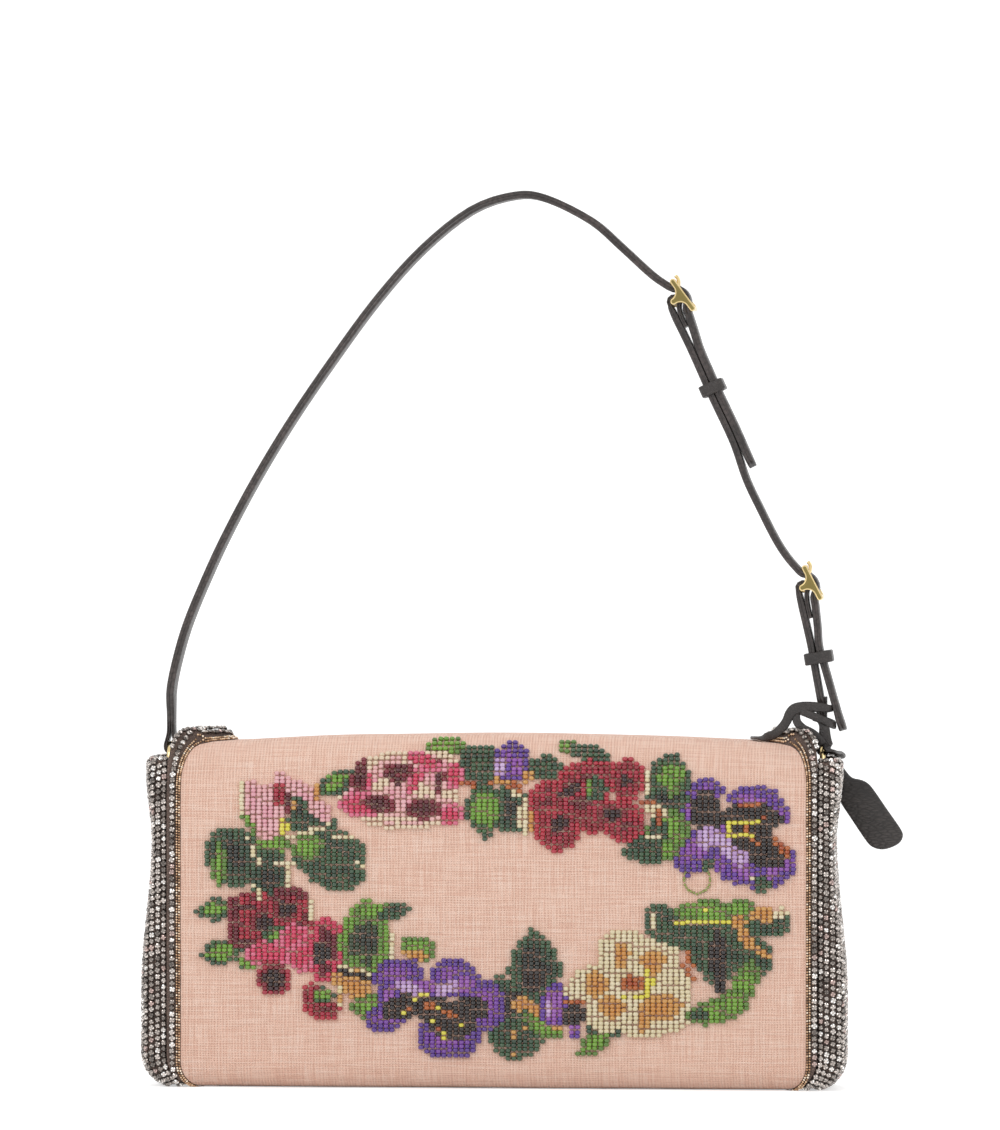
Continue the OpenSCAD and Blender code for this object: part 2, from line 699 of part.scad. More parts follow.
// A strap that starts folded round a buckle's middle bar, then runs down
loop_r = pivot_r + leather_gap + fold_t / 2;
run_start = [buckle_l * 0.29, -pivot_drop - loop_r * 1.414];
function run(b, points) = curve(concat([place(b, [0, -pivot_drop - loop_r]), place(b, run_start)], points), strap_steps);
fold_last = 6;
near_s = strap_t + leather_gap * 2;
fold_s = (strap_t + fold_t) / 2 + leather_gap / 2;
fold_shares = [[0, 1], [1, 0.85], [2, 0.6], [3, 0.36], [4, 0.17], [5, 0], [6, 0]];
function fold(main) = [
    for (i = [fold_last:-1:1])
        main[i] + mix(fold_s, loop_r * 2, lookup(i, fold_shares)) * left_of(heading(main, i))
];
function loop(b) = [for (p = ellipse([0, -pivot_drop], [loop_r, loop_r], 90, 270, bar_steps * 2)) place(b, p)];
function folded(b, main) = concat(fold(main), part_of(loop(b), 0, bar_steps * 2 - 1), main);
function thickness(count, total) = [
    for (i = [0:total - 1])
        let (k = i - count)
        (k <= 0 ? fold_t : mix(fold_t, strap_t, min(1, k / 5))) / 2
];
start_count = fold_last + bar_steps * 2;

// The free end of a strap, lying outside the strap that runs on below the buckle
tail_first = 5;
tail_shares = [[5, 1.37], [6, 1], [7, 0.6], [8, 0.13], [9, 0]];
function tail(main, end, from, lift, bend) = [
    for (i = [tail_first:end])
        main[i] + (near_s + fold_t * lookup(i, tail_shares) + lift * pow(max(0, (i - from) / (end - from)), bend))
            * left_of(heading(main, i))
];
long_run = curve(concat(long_points, [woven(0)[0]]), strap_steps);
middle_run = run(0, concat(middle_points, [woven(1)[0]]));
short_run = run(1, short_points);
long_path = concat(long_run, part_of(woven(0), 1, len(weave) - 1), tail(middle_run, 19, 16, long_tail_lift, 1.5));
middle_path = concat(
    folded(0, middle_run), part_of(woven(1), 1, len(weave) - 1), tail(short_run, 21, 9.5, middle_tail_lift, 1.15)
);
short_path = folded(1, short_run);

// Cuts in a strap: round holes, the slot a prong passes through and the rounded tip
hole_r = strap_w / 8;
module strap_hole(p, i) {
    in_frame(p[i], slope(p[i - 1], p[i + 1])) cylinder(r = hole_r, h = strap_t * 2, center = true);
}
slot_at = [-buckle_l * 0.246, -leather_gap];
slot_angle = 36.3;
slot_l = buckle_l / 3;
slot_w = prong_w * 1.5;
module prong_slot(b) {
    in_buckle(b) translate([slot_at[0], 0, slot_at[1]]) rotate([0, -slot_angle, 0])
        cube([slot_l, slot_w, strap_t * 2], center = true);
}
module loop_slot(b) {
    length = (loop_r + fold_t) * 2.4;
    in_buckle(b) translate([-length * 0.56, -slot_w / 2, -pivot_drop - loop_r - fold_t])
        cube([length, slot_w, (loop_r + fold_t) * 2]);
}
module tip_cut(p) {
    r = strap_w / 2;
    in_frame(last(p), slope(p[len(p) - 2], last(p))) difference() {
        translate([-r, -strap_w, -strap_t]) cube([r + cut, strap_w * 2, strap_t * 2]);
        translate([-r, 0, -strap_t * 2]) cylinder(r = r, h = strap_t * 4);
    }
}
module end_width() {
    low = ring_z - ring_r;
    narrow = strap_end_w / 2;
    along_x(-ring_span, ring_span) polygon(both_sides([
        [narrow, low], [narrow, ring_z + ring_r * 2.15], [strap_w / 2, ring_z + ring_r * 4.3],
        [strap_w / 2, ring_z + strap_rise * 1.2]
    ]));
}
end_taper = 6;
module ring_end(side) {
    outer = eye_r + fold_t;
    start = ring_z + ring_r;
    translate([side * ring_x, ring_z]) wire_slot(strap_end_w, fold_t);
    translate([side * ring_x, 0]) polygon([
        [-outer, start], [outer, start],
        [strap_t / 2, start + outer + end_taper], [-strap_t / 2, start + outer + end_taper]
    ]);
}
module ring_channel(side) {
    along_y(-strap_w, strap_w) translate([side * ring_x, ring_z]) wire_slot(strap_end_w, 0);
}
module strap_long() {
    color(leather) difference() {
        intersection() {
            union() {
                along_y(-strap_w / 2, strap_w / 2) polygon(ribbon(long_path, strap_t / 2, -strap_t / 2));
                along_y(-strap_w / 2, strap_w / 2) ring_end(-1);
            }
            end_width();
        }
        ring_channel(-1);
        prong_slot(0);
        tip_cut(long_path);
        for (i = [len(long_run) - 9, len(long_run) - 5]) strap_hole(long_path, i);
        for (i = [4, 7, 10]) strap_hole(long_path, len(long_path) - i);
    }
}
module strap_middle() {
    half = thickness(start_count, len(middle_path));
    color(leather) difference() {
        along_y(-strap_w / 2, strap_w / 2) polygon(ribbon(middle_path, half, -half));
        loop_slot(0);
        prong_slot(1);
        tip_cut(middle_path);
        strap_hole(middle_path, len(middle_path) - 6);
    }
}
module strap_short() {
    half = thickness(start_count, len(short_path));
    color(leather) difference() {
        intersection() {
            union() {
                along_y(-strap_w / 2, strap_w / 2) polygon(ribbon(short_path, half, -half));
                along_y(-strap_w / 2, strap_w / 2) ring_end(1);
            }
            end_width();
        }
        ring_channel(1);
        loop_slot(1);
    }
}

// Buckle frame: two T-shaped side plates with a sunk face, two end bars and a middle bar
plate_y = strap_w / 2 + leather_gap * 2.7;
module plate_shape() {
    half = buckle_l / 2;
    for (side = [-1, 1]) translate([side * half, 0]) circle(bar_r);
    square([buckle_l, bar_r * 2], center = true);
    translate([0, -pivot_drop]) circle(pivot_r);
    translate([-pivot_r, -pivot_drop]) square([pivot_r * 2, pivot_drop]);
    difference() {
        translate([-pivot_r - plate_fillet, -bar_r - plate_fillet])
            square([(pivot_r + plate_fillet) * 2, plate_fillet + bar_r]);
        for (side = [-1, 1]) translate([side * (pivot_r + plate_fillet), -bar_r - plate_fillet])
            circle(plate_fillet);
    }
}
module bar(x, z, r) {
    translate([x, plate_y + plate_t / 2, z]) rotate([90, 0, 0]) cylinder(r = r, h = plate_y * 2 + plate_t);
}
module buckle(b) {
    color(gold) in_buckle(b) {
        difference() {
            for (side = [-1, 1])
                along_y(side < 0 ? -plate_y - plate_t : plate_y, side < 0 ? -plate_y : plate_y + plate_t)
                    plate_shape();
            for (side = [-1, 1])
                along_y(side < 0 ? -plate_y - plate_t - cut : plate_y + plate_t - rim_d,
                    side < 0 ? -plate_y - plate_t + rim_d : plate_y + plate_t + cut)
                    offset(delta = -rim_w) plate_shape();
        }
        for (side = [-1, 1]) bar(side * buckle_l / 2, 0, bar_r);
        bar(0, -pivot_drop, pivot_r);
    }
}
prong_eye = pivot_r * 5 / 3;
prong_play = 0.06;
prong_rest = bar_r + leather_gap * 2 + prong_t / 2;
prong_line = curve([
    [-buckle_l * 0.08, -pivot_drop * 0.72], [-buckle_l * 0.23, -pivot_drop * 0.21],
    [-buckle_l * 0.35, pivot_drop * 0.21], [-buckle_l / 2, prong_rest], [-buckle_l * 0.635, prong_rest - prong_t * 0.15]
], strap_steps);
module prong(b) {
    color(gold) in_buckle(b) difference() {
        union() {
            translate([0, prong_w / 2, -pivot_drop]) rotate([90, 0, 0]) cylinder(r = prong_eye, h = prong_w);
            along_y(-prong_w / 2, prong_w / 2) polygon(ribbon(prong_line, prong_t / 2, -prong_t / 2));
        }
        translate([0, prong_w, -pivot_drop]) rotate([90, 0, 0])
            cylinder(r = pivot_r + prong_play, h = prong_w * 2);
    }
}

// Leather loops that keep the free ends down
function rounded(w, h, r) = concat(
    ellipse([w / 2 - r, h / 2 - r], [r, r], 0, 90, corner_steps),
    ellipse([r - w / 2, h / 2 - r], [r, r], 90, 180, corner_steps),
    ellipse([r - w / 2, r - h / 2], [r, r], 180, 270, corner_steps),
    ellipse([w / 2 - r, r - h / 2], [r, r], 270, 360, corner_steps)
);
function along(p, i) = mix(p[floor(i)], p[floor(i) + 1], i - floor(i));
module band_loop(inner_y, inner_z, wall, width) {
    translate([-width / 2, 0, 0]) rotate([90, 0, 90]) linear_extrude(width) difference() {
        polygon(rounded(inner_y + wall * 2, inner_z + wall * 2, wall * 1.3));
        polygon(rounded(inner_y, inner_z, wall * 0.3));
    }
}
module keeper(path, i, lift) {
    angle = slope(path[floor(i)], path[floor(i) + 1]);
    color(leather) in_frame(along(path, i), angle) translate([0, 0, (near_s + lift) / 2])
        band_loop(strap_w + keeper_play * 2, strap_t + near_s + lift + keeper_play * 2, keeper_t, keeper_w);
}
upper_keeper_i = 11.4;
lower_keeper_i = 10.5;

// Thong of the tag: wound round the strap's end, then led over the side to the tag
wrap_t = thong_t * 0.55;
wrap_play = leather_gap * 1.5;
low_wrap_y = strap_w * 0.84;
high_wrap_y = strap_w * 0.95;
wrap_w = thong_w * 0.6;
wrap_angle = 20;
module thong_wrap() {
    low = short_run[17];
    high = short_run[15];
    link = strap_t * 0.68;
    color(leather) union() {
        in_frame(low, -90 - wrap_angle) band_loop(low_wrap_y, strap_t + wrap_play * 10, wrap_t, wrap_w);
        in_frame(high, -90 + wrap_angle / 3) band_loop(high_wrap_y, strap_t + wrap_play * 4, wrap_t, wrap_w);
        translate([high[0] - link - wrap_t, -thong_w / 2, low[1]]) cube([wrap_t, thong_w, high[1] - low[1]]);
    }
}
tag_y = front_y + thong_t + leather_gap;
tag_origin = [ring_x - ring_r * 0.26, ring_z + ring_r * 0.72];
thong_y = ring_r + ring_wire_r + leather_gap * 1.5;
thong_top_x = ring_x - ring_r * 0.14;
thong_top_z = side_h + ply_gap * 2;
module thong_loop() {
    x = ring_x - ring_r;
    z = ring_z + ring_r * 2.5;
    arch = curve([
        [x + ring_r * 0.6, z + thong_w * 0.9], [x - ring_r * 0.4, z + thong_w * 1.15], [x - ring_r * 1.3, z + thong_w],
        [x - ring_r * 1.55, z + thong_w * 0.1], [x - ring_r * 0.8, z - thong_w * 0.35], [x, z]
    ], strap_steps);
    loose = curve([
        [x, z], [x - ring_r * 0.9, z + thong_w * 0.5], [x - ring_r * 1.9, z], [x - ring_r * 3.3, z - thong_w * 0.4]
    ], strap_steps);
    drop = curve([
        [x, z], [x + ring_r * 0.3, z - thong_w], [thong_top_x, thong_top_z + thong_t / 2]
    ], strap_steps);
    color(leather) union() {
        along_y(-thong_y - thong_t, -thong_y) polygon(ribbon(arch, thong_t, -thong_t));
        along_y(-thong_y - thong_t, thong_y + thong_t) translate([x, z]) circle(thong_t);
        along_y(thong_y, thong_y + thong_t) polygon(ribbon(loose, thong_t, -thong_t));
        along_y(thong_y, thong_y + thong_t) polygon(ribbon(drop, thong_t, -thong_t));
        translate([thong_top_x - thong_w / 2, thong_y, thong_top_z])
            cube([thong_w, tag_y - thong_y - ply_gap * 2 - leather_gap, thong_t]);
    }
}

// Tag hanging from its thong beside the bag
tag_neck = tag_w * 1.28;
tag_pivot_e = tag_w * 0.45;
module tag() {
    color(leather) along_y(tag_y, tag_y + tag_t) translate(tag_origin) rotate(-tag_angle) {
        translate([tag_pivot_e / 2, -thong_w / 2]) square([tag_neck - tag_pivot_e / 2, thong_w]);
        translate([tag_w * 1.2 + tag_l / 2, 0]) polygon(rounded(tag_l, tag_w, tag_w * 0.4));
    }
}

// Bag body
back_panel();
front_panel();
bottom_panel();
base_board();
mirror([1, 0, 0]) gusset();  // gusset_left
gusset();  // gusset_right
edge_band(back_path, -1);  // back_band_left
edge_band(back_path, 1);  // back_band_right
edge_band(front_path, -1);  // front_band_left
edge_band(front_path, 1);  // front_band_right
edge_trim(back_path, -1);  // back_trim_left
edge_trim(back_path, 1);  // back_trim_right
edge_trim(front_path, -1);  // front_trim_left
edge_trim(front_path, 1);  // front_trim_right
beadwork();
wall_lining(back_path);  // lining_back
wall_lining(front_path);  // lining_front
lining_bottom();
mirror([1, 0, 0]) side_lining();  // lining_left
side_lining();  // lining_right
mirror([1, 0, 0]) ring_tab();  // ring_tab_left
ring_tab();  // ring_tab_right
snap_socket();
snap_washer();
pocket_panel();
zip_tape();
zip_teeth();
thong_loop();
// Flap
flap_panel();
flap_lining();
flap_band();
flap_trim();
snap_stud();
// Strap
strap_long();
strap_middle();
strap_short();
buckle(0);  // buckle_upper
buckle(1);  // buckle_lower
mirror([1, 0, 0]) ring();  // ring_left
ring();  // ring_right
thong_wrap();
prong(0);  // prong_upper
prong(1);  // prong_lower
keeper(middle_run, upper_keeper_i, 0);  // keeper_upper
keeper(short_run, lower_keeper_i, keeper_lift);  // keeper_lower
// Tag and zip
tag();
zip_slider();
zip_pull();
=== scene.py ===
"""Shoulder bag: beaded linen body with crystal sides, a fold-over flap and a strap with two buckles."""

import math
import random

import bmesh
import bpy
from mathutils import Matrix, Vector, noise


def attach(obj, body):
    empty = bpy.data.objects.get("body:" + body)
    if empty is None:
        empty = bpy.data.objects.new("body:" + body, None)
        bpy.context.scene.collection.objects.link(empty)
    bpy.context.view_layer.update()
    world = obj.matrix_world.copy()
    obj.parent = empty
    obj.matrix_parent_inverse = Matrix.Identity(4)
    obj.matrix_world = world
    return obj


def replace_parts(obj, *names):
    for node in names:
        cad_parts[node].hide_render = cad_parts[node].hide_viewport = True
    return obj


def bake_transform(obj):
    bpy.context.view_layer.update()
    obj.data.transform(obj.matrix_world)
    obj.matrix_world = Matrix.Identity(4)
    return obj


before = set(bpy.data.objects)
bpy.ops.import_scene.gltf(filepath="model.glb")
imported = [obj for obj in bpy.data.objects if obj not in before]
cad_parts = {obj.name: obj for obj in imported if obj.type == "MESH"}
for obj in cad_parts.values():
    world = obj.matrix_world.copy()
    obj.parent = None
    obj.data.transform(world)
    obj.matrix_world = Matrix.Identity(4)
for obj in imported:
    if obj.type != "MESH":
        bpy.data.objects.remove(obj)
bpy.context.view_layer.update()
MM = 0.001

# Sizes of the solids, in millimetres: X runs along the bag, Y from its embroidered back to the flap, Z up.
# The body: its linen between the trims, its height and its two faces
PANEL_HALF, BODY_H, BACK_Y, FRONT_Y = 118.6, 134, 25, 22.5
BOTTOM_R, ROLL_IN, ROLL_H, FRONT_H, LINING_H = 9, 16, 28, 117, 116
# Outer edge of the crystal bands; corners are (how far they turn in, their height)
LOW_CORNER, BAND_LOW, BAND_TOP = (8.0, 9.9), (10.6, 12.5), (13, 14.04)
BAND_X, BAND_TOP_Z = 123.4, 136.3
# The sides' bulge: their bottom corner, height, and half the bag's length at three heights
SIDE_R, SIDE_H, SIDE_LOW_X, SIDE_WAIST_X, SIDE_TOP_X = 13, 124.2, 134.4, 130.2, 131.8
# The flap: its face, its lower edge, half widths below and at its root, corners, taper and roll
FLAP_Y, FLAP_LOW, FLAP_X, FLAP_ROOT_X, FLAP_R, FLAP_TAPER, FLAP_ROLL = 27.5, 27, 107, 121.5, 14, 23, 17.6
HINGE_Y = -21.65
# The strap's rings, its rise above them, its width and its thickness whole and pared
RING_X, RING_Z, STRAP_RISE = 124.6, 123.2, 215.6
STRAP_W, STRAP_T, FOLD_T, STRAP_END_W = 12, 2.6, 1.5, 7
POCKET_W, POCKET_LOW, ZIP_Z = 150, 23, 97

# The plain linen inside its trim: where its top corners start and end and how far they turn in, how far it
# lies to the right, and the width of the flap's band beside it
CORNER_Z, CORNER_IN, CORNER_END_Y, LINEN_SHIFT, FLAP_BAND = 115, 8.5, -12, 0.6, 6.4
# How deep the top fold sinks towards its ends, from which height up, and how far its corners rise again
FOLD_SINK, SINK_FROM, CORNER_RISE = 3, 112, 1.4
# Steps across a sheet: in each band, and in the plain cloth between them
BAND_STEPS, PLAIN_STEPS = 5, 90


# Lines

def ellipse(centre, radii, start, end, steps):
    """Points on an ellipse from one direction to another, in degrees."""
    turns = [math.radians(start + (end - start) * i / steps) for i in range(steps + 1)]
    return [Vector((centre[0] + radii[0] * math.cos(t), centre[1] + radii[1] * math.sin(t))) for t in turns]


def through(guides, steps):
    """A smooth line through guide points."""
    points = []
    for i in range(len(guides) - 1):
        a, b, c, d = guides[max(i - 1, 0)], guides[i], guides[i + 1], guides[min(i + 2, len(guides) - 1)]
        for t in [k / steps for k in range(steps)]:
            points.append((2 * b + (c - a) * t + (2 * a - 5 * b + 4 * c - d) * t ** 2
                           + (3 * b - a - 3 * c + d) * t ** 3) / 2)
    return points + [guides[-1]]


def heading(points, i):
    """The way a line runs at one of its points."""
    return (points[min(i + 1, len(points) - 1)] - points[max(i - 1, 0)]).normalized()


def left_of(direction):
    return Vector((-direction[1], direction[0]))


def moved(points, shift):
    """A line beside another one, to its left."""
    return [p + left_of(heading(points, i)) * shift for i, p in enumerate(points)]


def even(points, pitch):
    """The same line with its points at an even distance."""
    lengths = [(b - a).length for a, b in zip(points, points[1:])]
    total = sum(lengths)
    count = max(1, round(total / pitch))
    line, i, run = [], 0, 0.0
    for k in range(count + 1):
        want = total * k / count
        while i < len(lengths) - 1 and run + lengths[i] < want:
            run += lengths[i]
            i += 1
        line.append(points[i].lerp(points[i + 1], min(1, (want - run) / max(lengths[i], 1e-9))))
    return line


def mix(a, b, t):
    return a + (b - a) * t


def clamp(t):
    return min(1, max(0, t))


def ease(t):
    return clamp(t) ** 2 * (3 - 2 * clamp(t))


def lookup(x, table):
    """Straight-line value between the rows of a short table."""
    for (x0, y0), (x1, y1) in zip(table, table[1:]):
        if x <= x1:
            return mix(y0, y1, clamp((x - x0) / (x1 - x0)))
    return table[-1][1]


# Finishes

def linear(hex_colour):
    channels = [int(hex_colour[i:i + 2], 16) / 255 for i in (1, 3, 5)]
    return [c / 12.92 if c <= 0.04045 else ((c + 0.055) / 1.055) ** 2.4 for c in channels] + [1.0]


def add(tree, kind, inputs=None, **settings):
    """Adds a node; each input takes a number, a hex colour, or the node or socket that feeds it."""
    node = tree.nodes.new(kind)
    for key, value in settings.items():
        setattr(node, key, value)
    for key, value in (inputs or {}).items():
        if isinstance(value, bpy.types.Node):
            value = next(socket for socket in value.outputs if socket.enabled)
        if isinstance(value, bpy.types.NodeSocket):
            tree.links.new(value, node.inputs[key])
        else:
            node.inputs[key].default_value = linear(value) if str(value).startswith("#") else value
    return node


def finish(name, colour, roughness, metallic=0.0, **values):
    """A material, its node tree and its shader, with the even values set on the shader's own sockets."""
    material = bpy.data.materials.new(name)
    material.use_nodes = True
    shader = material.node_tree.nodes["Principled BSDF"]
    shader.inputs["Base Color"].default_value = linear(colour)
    shader.inputs["Roughness"].default_value = roughness
    shader.inputs["Metallic"].default_value = metallic
    for key, value in values.items():
        shader.inputs[key.replace("_", " ")].default_value = value
    return material, material.node_tree, shader


def linen_cloth():
    """Linen, plain woven from uneven flax yarn and left matt: slubs run both ways, and painted shade darkens
    the small gaps between the threads, while thick slubs take a painted highlight and thin ones a darker
    tint. The threads are about 0.5 mm apart and are drawn at 1 mm so that they show."""
    material, tree, shader = finish("slubby_plain_linen", "#E2BDAB", 0.88, Sheen_Weight=0.12,
                                    Sheen_Roughness=0.5)
    pitch = 1.0
    flat = add(tree, "ShaderNodeTexCoord").outputs["UV"]
    wander = add(tree, "ShaderNodeTexNoise", {"Vector": flat, "Scale": 0.12, "Detail": 2.0}).outputs["Color"]
    sway = add(tree, "ShaderNodeVectorMath", {0: wander, 1: (0.9, 0.9, 0), 2: flat},
               operation="MULTIPLY_ADD")
    warp, weft = (add(tree, "ShaderNodeTexWave", {"Vector": sway, "Scale": 0.314 / pitch * share},
                      wave_type="BANDS", bands_direction=way).outputs["Fac"]
                  for way, share in (("X", 0.9), ("Y", 1.08)))
    slubs = []
    for stretch in ((1.0, 0.05, 1), (0.045, 0.9, 1)):
        along = add(tree, "ShaderNodeMapping", {"Vector": flat, "Scale": stretch})
        slubs.append(add(tree, "ShaderNodeTexNoise", {"Vector": along, "Scale": 1.3, "Detail": 3.0}))
    slub = add(tree, "ShaderNodeMath", {0: slubs[0], 1: slubs[1]})
    threads = add(tree, "ShaderNodeMath", {0: warp, 1: weft})
    cover = add(tree, "ShaderNodeMapRange", {"Value": threads, "From Min": 0.1, "From Max": 0.85})
    thick = add(tree, "ShaderNodeMapRange", {"Value": slub, "From Min": 0.96, "From Max": 1.3})
    thin = add(tree, "ShaderNodeMapRange", {"Value": slub, "From Min": 0.98, "From Max": 0.7})
    # Painted shade in the gaps between the threads, then a painted highlight on thick slubs and a darker
    # tint on thin ones
    colour = add(tree, "ShaderNodeMix", {0: cover, 6: "#D4A48E", 7: "#F0C9B5"}, data_type="RGBA").outputs[2]
    colour = add(tree, "ShaderNodeMix", {0: thick, 6: colour, 7: "#F5D5C4"}, data_type="RGBA").outputs[2]
    colour = add(tree, "ShaderNodeMix", {0: thin, 6: colour, 7: "#E2B5A1"}, data_type="RGBA").outputs[2]
    tree.links.new(colour, shader.inputs["Base Color"])
    top = add(tree, "ShaderNodeMath", {0: warp, 1: weft}, operation="MAXIMUM")
    height = add(tree, "ShaderNodeMath", {0: slub, 1: 0.7, 2: top}, operation="MULTIPLY_ADD")
    bump = add(tree, "ShaderNodeBump", {"Height": height, "Distance": 0.22 * MM})
    tree.links.new(bump.outputs["Normal"], shader.inputs["Normal"])
    return material


def grained_leather(name, colour, roughness, grain, depth, stretch=(1, 1, 1)):
    """Calf leather, drum dyed, pressed with a fine grain and waxed: small raised cells, with painted shade
    darkening the creases between them. Cells of 0.3 mm are drawn coarser, at the grain given in millimetres."""
    material, tree, shader = finish(name, colour, roughness, Coat_Weight=0.06, Coat_Roughness=0.35)
    place = add(tree, "ShaderNodeMapping", {"Vector": add(tree, "ShaderNodeTexCoord").outputs["Object"],
                                            "Rotation": (0, math.radians(25), 0),
                                            "Scale": stretch})
    cells = add(tree, "ShaderNodeTexVoronoi", {"Vector": place, "Scale": 1000 / grain, "Randomness": 0.9},
                feature="DISTANCE_TO_EDGE")
    cloud = add(tree, "ShaderNodeTexNoise", {"Vector": place, "Scale": 70.0, "Detail": 3.0})
    crease = add(tree, "ShaderNodeMapRange", {"Value": cells, "From Min": 0.0, "From Max": 0.25})
    tone = add(tree, "ShaderNodeMapRange", {"Value": cloud, "From Min": 0.35, "From Max": 0.7,
                                            "To Min": 0.75, "To Max": 1.5})
    # Painted shade: the colour is darker in the creases, times a tone that varies at random
    shade = add(tree, "ShaderNodeMapRange", {"Value": crease, "To Min": 0.5, "To Max": 1.1})
    shade = add(tree, "ShaderNodeMath", {0: tone, 1: shade}, operation="MULTIPLY")
    base = add(tree, "ShaderNodeVectorMath", {0: linear(colour)[:3], "Scale": shade}, operation="SCALE")
    tree.links.new(base.outputs[0], shader.inputs["Base Color"])
    bump = add(tree, "ShaderNodeBump", {"Height": crease, "Distance": depth * MM})
    tree.links.new(bump.outputs["Normal"], shader.inputs["Normal"])
    return material


def plated_brass(name, colour, roughness):
    """Brass, cast, tumbled and plated: a mirror finish with faint hairlines from the buffing wheel."""
    material, tree, shader = finish(name, colour, roughness, 1.0)
    along = add(tree, "ShaderNodeMapping", {"Vector": add(tree, "ShaderNodeTexCoord").outputs["Object"],
                                            "Scale": (300, 3000, 300)})
    hair = add(tree, "ShaderNodeTexNoise", {"Vector": along, "Scale": 1.0, "Detail": 2.0})
    polish = add(tree, "ShaderNodeMapRange", {"Value": hair, "To Min": roughness * 0.7,
                                              "To Max": roughness * 1.4})
    tree.links.new(polish.outputs[0], shader.inputs["Roughness"])
    return material


def lining_satin():
    """Lining satin, woven with long floats: smooth, with a soft sheen that runs along the threads."""
    material, tree, shader = finish("woven_lining_satin", "#D8CFC6", 0.42, Sheen_Weight=0.3,
                                    Sheen_Roughness=0.3)
    along = add(tree, "ShaderNodeMapping", {"Vector": add(tree, "ShaderNodeTexCoord").outputs["Object"],
                                            "Scale": (150, 150, 2600)})
    floats = add(tree, "ShaderNodeTexNoise", {"Vector": along, "Scale": 1.0, "Detail": 2.0})
    share = add(tree, "ShaderNodeMapRange", {"Value": floats, "From Min": 0.3, "From Max": 0.7})
    colour = add(tree, "ShaderNodeMix", {0: share, 6: "#CBC1B7", 7: "#DFD7CE"}, data_type="RGBA")
    tree.links.new(colour.outputs[2], shader.inputs["Base Color"])
    bump = add(tree, "ShaderNodeBump", {"Height": floats, "Distance": 0.04 * MM})
    tree.links.new(bump.outputs["Normal"], shader.inputs["Normal"])
    return material


def tinted(name, roughness, metallic=0.0, **values):
    """A finish whose colour is each bead's, crystal's or stitch's own tint, times its face's painted
    highlight or painted shade; beads and stitches have none.
    """
    material, tree, shader = finish(name, "#FFFFFF", roughness, metallic, **values)
    tint, painted_face_light_and_shade = (add(tree, "ShaderNodeAttribute", attribute_name=key) for key in ("tint", "painted_face_light_and_shade"))
    colour = add(tree, "ShaderNodeVectorMath", {0: tint, "Scale": painted_face_light_and_shade.outputs["Fac"]}, operation="SCALE")
    tree.links.new(colour.outputs[0], shader.inputs["Base Color"])
    return material


LINEN = linen_cloth()
SATIN = lining_satin()
CALF = grained_leather("grained_black_brown_calf", "#332D2B", 0.42, 1.0, 0.09)
TAG_CALF = grained_leather("ribbed_tag_calf", "#373230", 0.5, 1.5, 0.14, (0.45, 1, 1.5))
# Edge paint: two coats of acrylic over the cut edge, glossier than the grain
EDGE_PAINT = grained_leather("painted_leather_edge", "#3D3533", 0.32, 2.2, 0.03)
GOLD = plated_brass("pale_gold_plated_brass", "#E6CE98", 0.15)
OLIVE = plated_brass("etched_olive_gold", "#86784A", 0.38)
STEEL = plated_brass("brushed_washer_steel", "#B9BCC2", 0.35)
BOARD = grained_leather("pressed_fibre_board", "#B09470", 0.85, 3.0, 0.08)
# Net of metal thread that the crystals are set on: dull, and dark with painted shade between them
NET_DARK_WITH_PAINTED_SHADE = grained_leather("net_dark_with_painted_shade", "#6A574E", 0.75, 0.9, 0.15)
# Cut glass with a foiled back: each cut face has a painted highlight or painted shade on its tint, and the
# lamps add hard glints
CRYSTAL = tinted("foil_backed_crystal", 0.14, 0.8, Coat_Weight=0.5, Coat_Roughness=0.03)
# Seed beads, cut from drawn glass tube and tumbled round: a glossy skin over an even colour
BEAD = tinted("tumbled_glass_seed_bead", 0.25, IOR=1.52, Coat_Weight=0.3, Coat_Roughness=0.08)
# Rocaille beads with a pale gold plating
TRIM_BEAD = tinted("gold_plated_rocaille", 0.28, 0.85)
# Bonded polyester thread: round, slightly waxed
THREAD = tinted("bonded_thread", 0.6)

# Tints with the share of crystals and of gold beads that have them
CRYSTAL_TINTS = (("#79716B", 3), ("#918983", 4), ("#AAA29C", 4), ("#CCC5BE", 2), ("#5C5550", 2),
                 ("#9A8680", 1))
GOLD_TINTS = (("#DDBE9E", 4), ("#BC9878", 3), ("#F5E6D2", 2), ("#94765C", 2))


# Making meshes

def piece(name, points, faces, material, uv=None, outward=False):
    """A mesh object from points in millimetres, with an optional UV for each point in millimetres."""
    mesh = bpy.data.meshes.new(name)
    mesh.from_pydata([Vector(p) * MM for p in points], [], faces)
    mesh.materials.append(material)
    mesh.polygons.foreach_set("use_smooth", [True] * len(mesh.polygons))
    if uv:
        layer = mesh.uv_layers.new(name="cloth")
        for loop in mesh.loops:
            layer.data[loop.index].uv = uv[loop.vertex_index]
    if outward:
        work = bmesh.new()
        work.from_mesh(mesh)
        bmesh.ops.remove_doubles(work, verts=work.verts, dist=0.005 * MM)
        bmesh.ops.recalc_face_normals(work, faces=work.faces)
        if work.calc_volume(signed=True) < 0:
            bmesh.ops.reverse_faces(work, faces=work.faces)
        work.to_mesh(mesh)
        work.free()
    obj = bpy.data.objects.new(name, mesh)
    bpy.context.scene.collection.objects.link(obj)
    return obj


def weave(rows, columns, ring=False):
    """Faces between rows of points; a ring joins each row's last point to its first."""
    return [(j * columns + i, j * columns + (i + 1) % columns, (j + 1) * columns + (i + 1) % columns,
             (j + 1) * columns + i)
            for j in range(rows - 1) for i in range(columns if ring else columns - 1)]


def strip_ends(rows, size):
    """The two faces that close a strip swept in rows of points."""
    return [tuple(range(size)), tuple((rows - 1) * size + k for k in reversed(range(size)))]


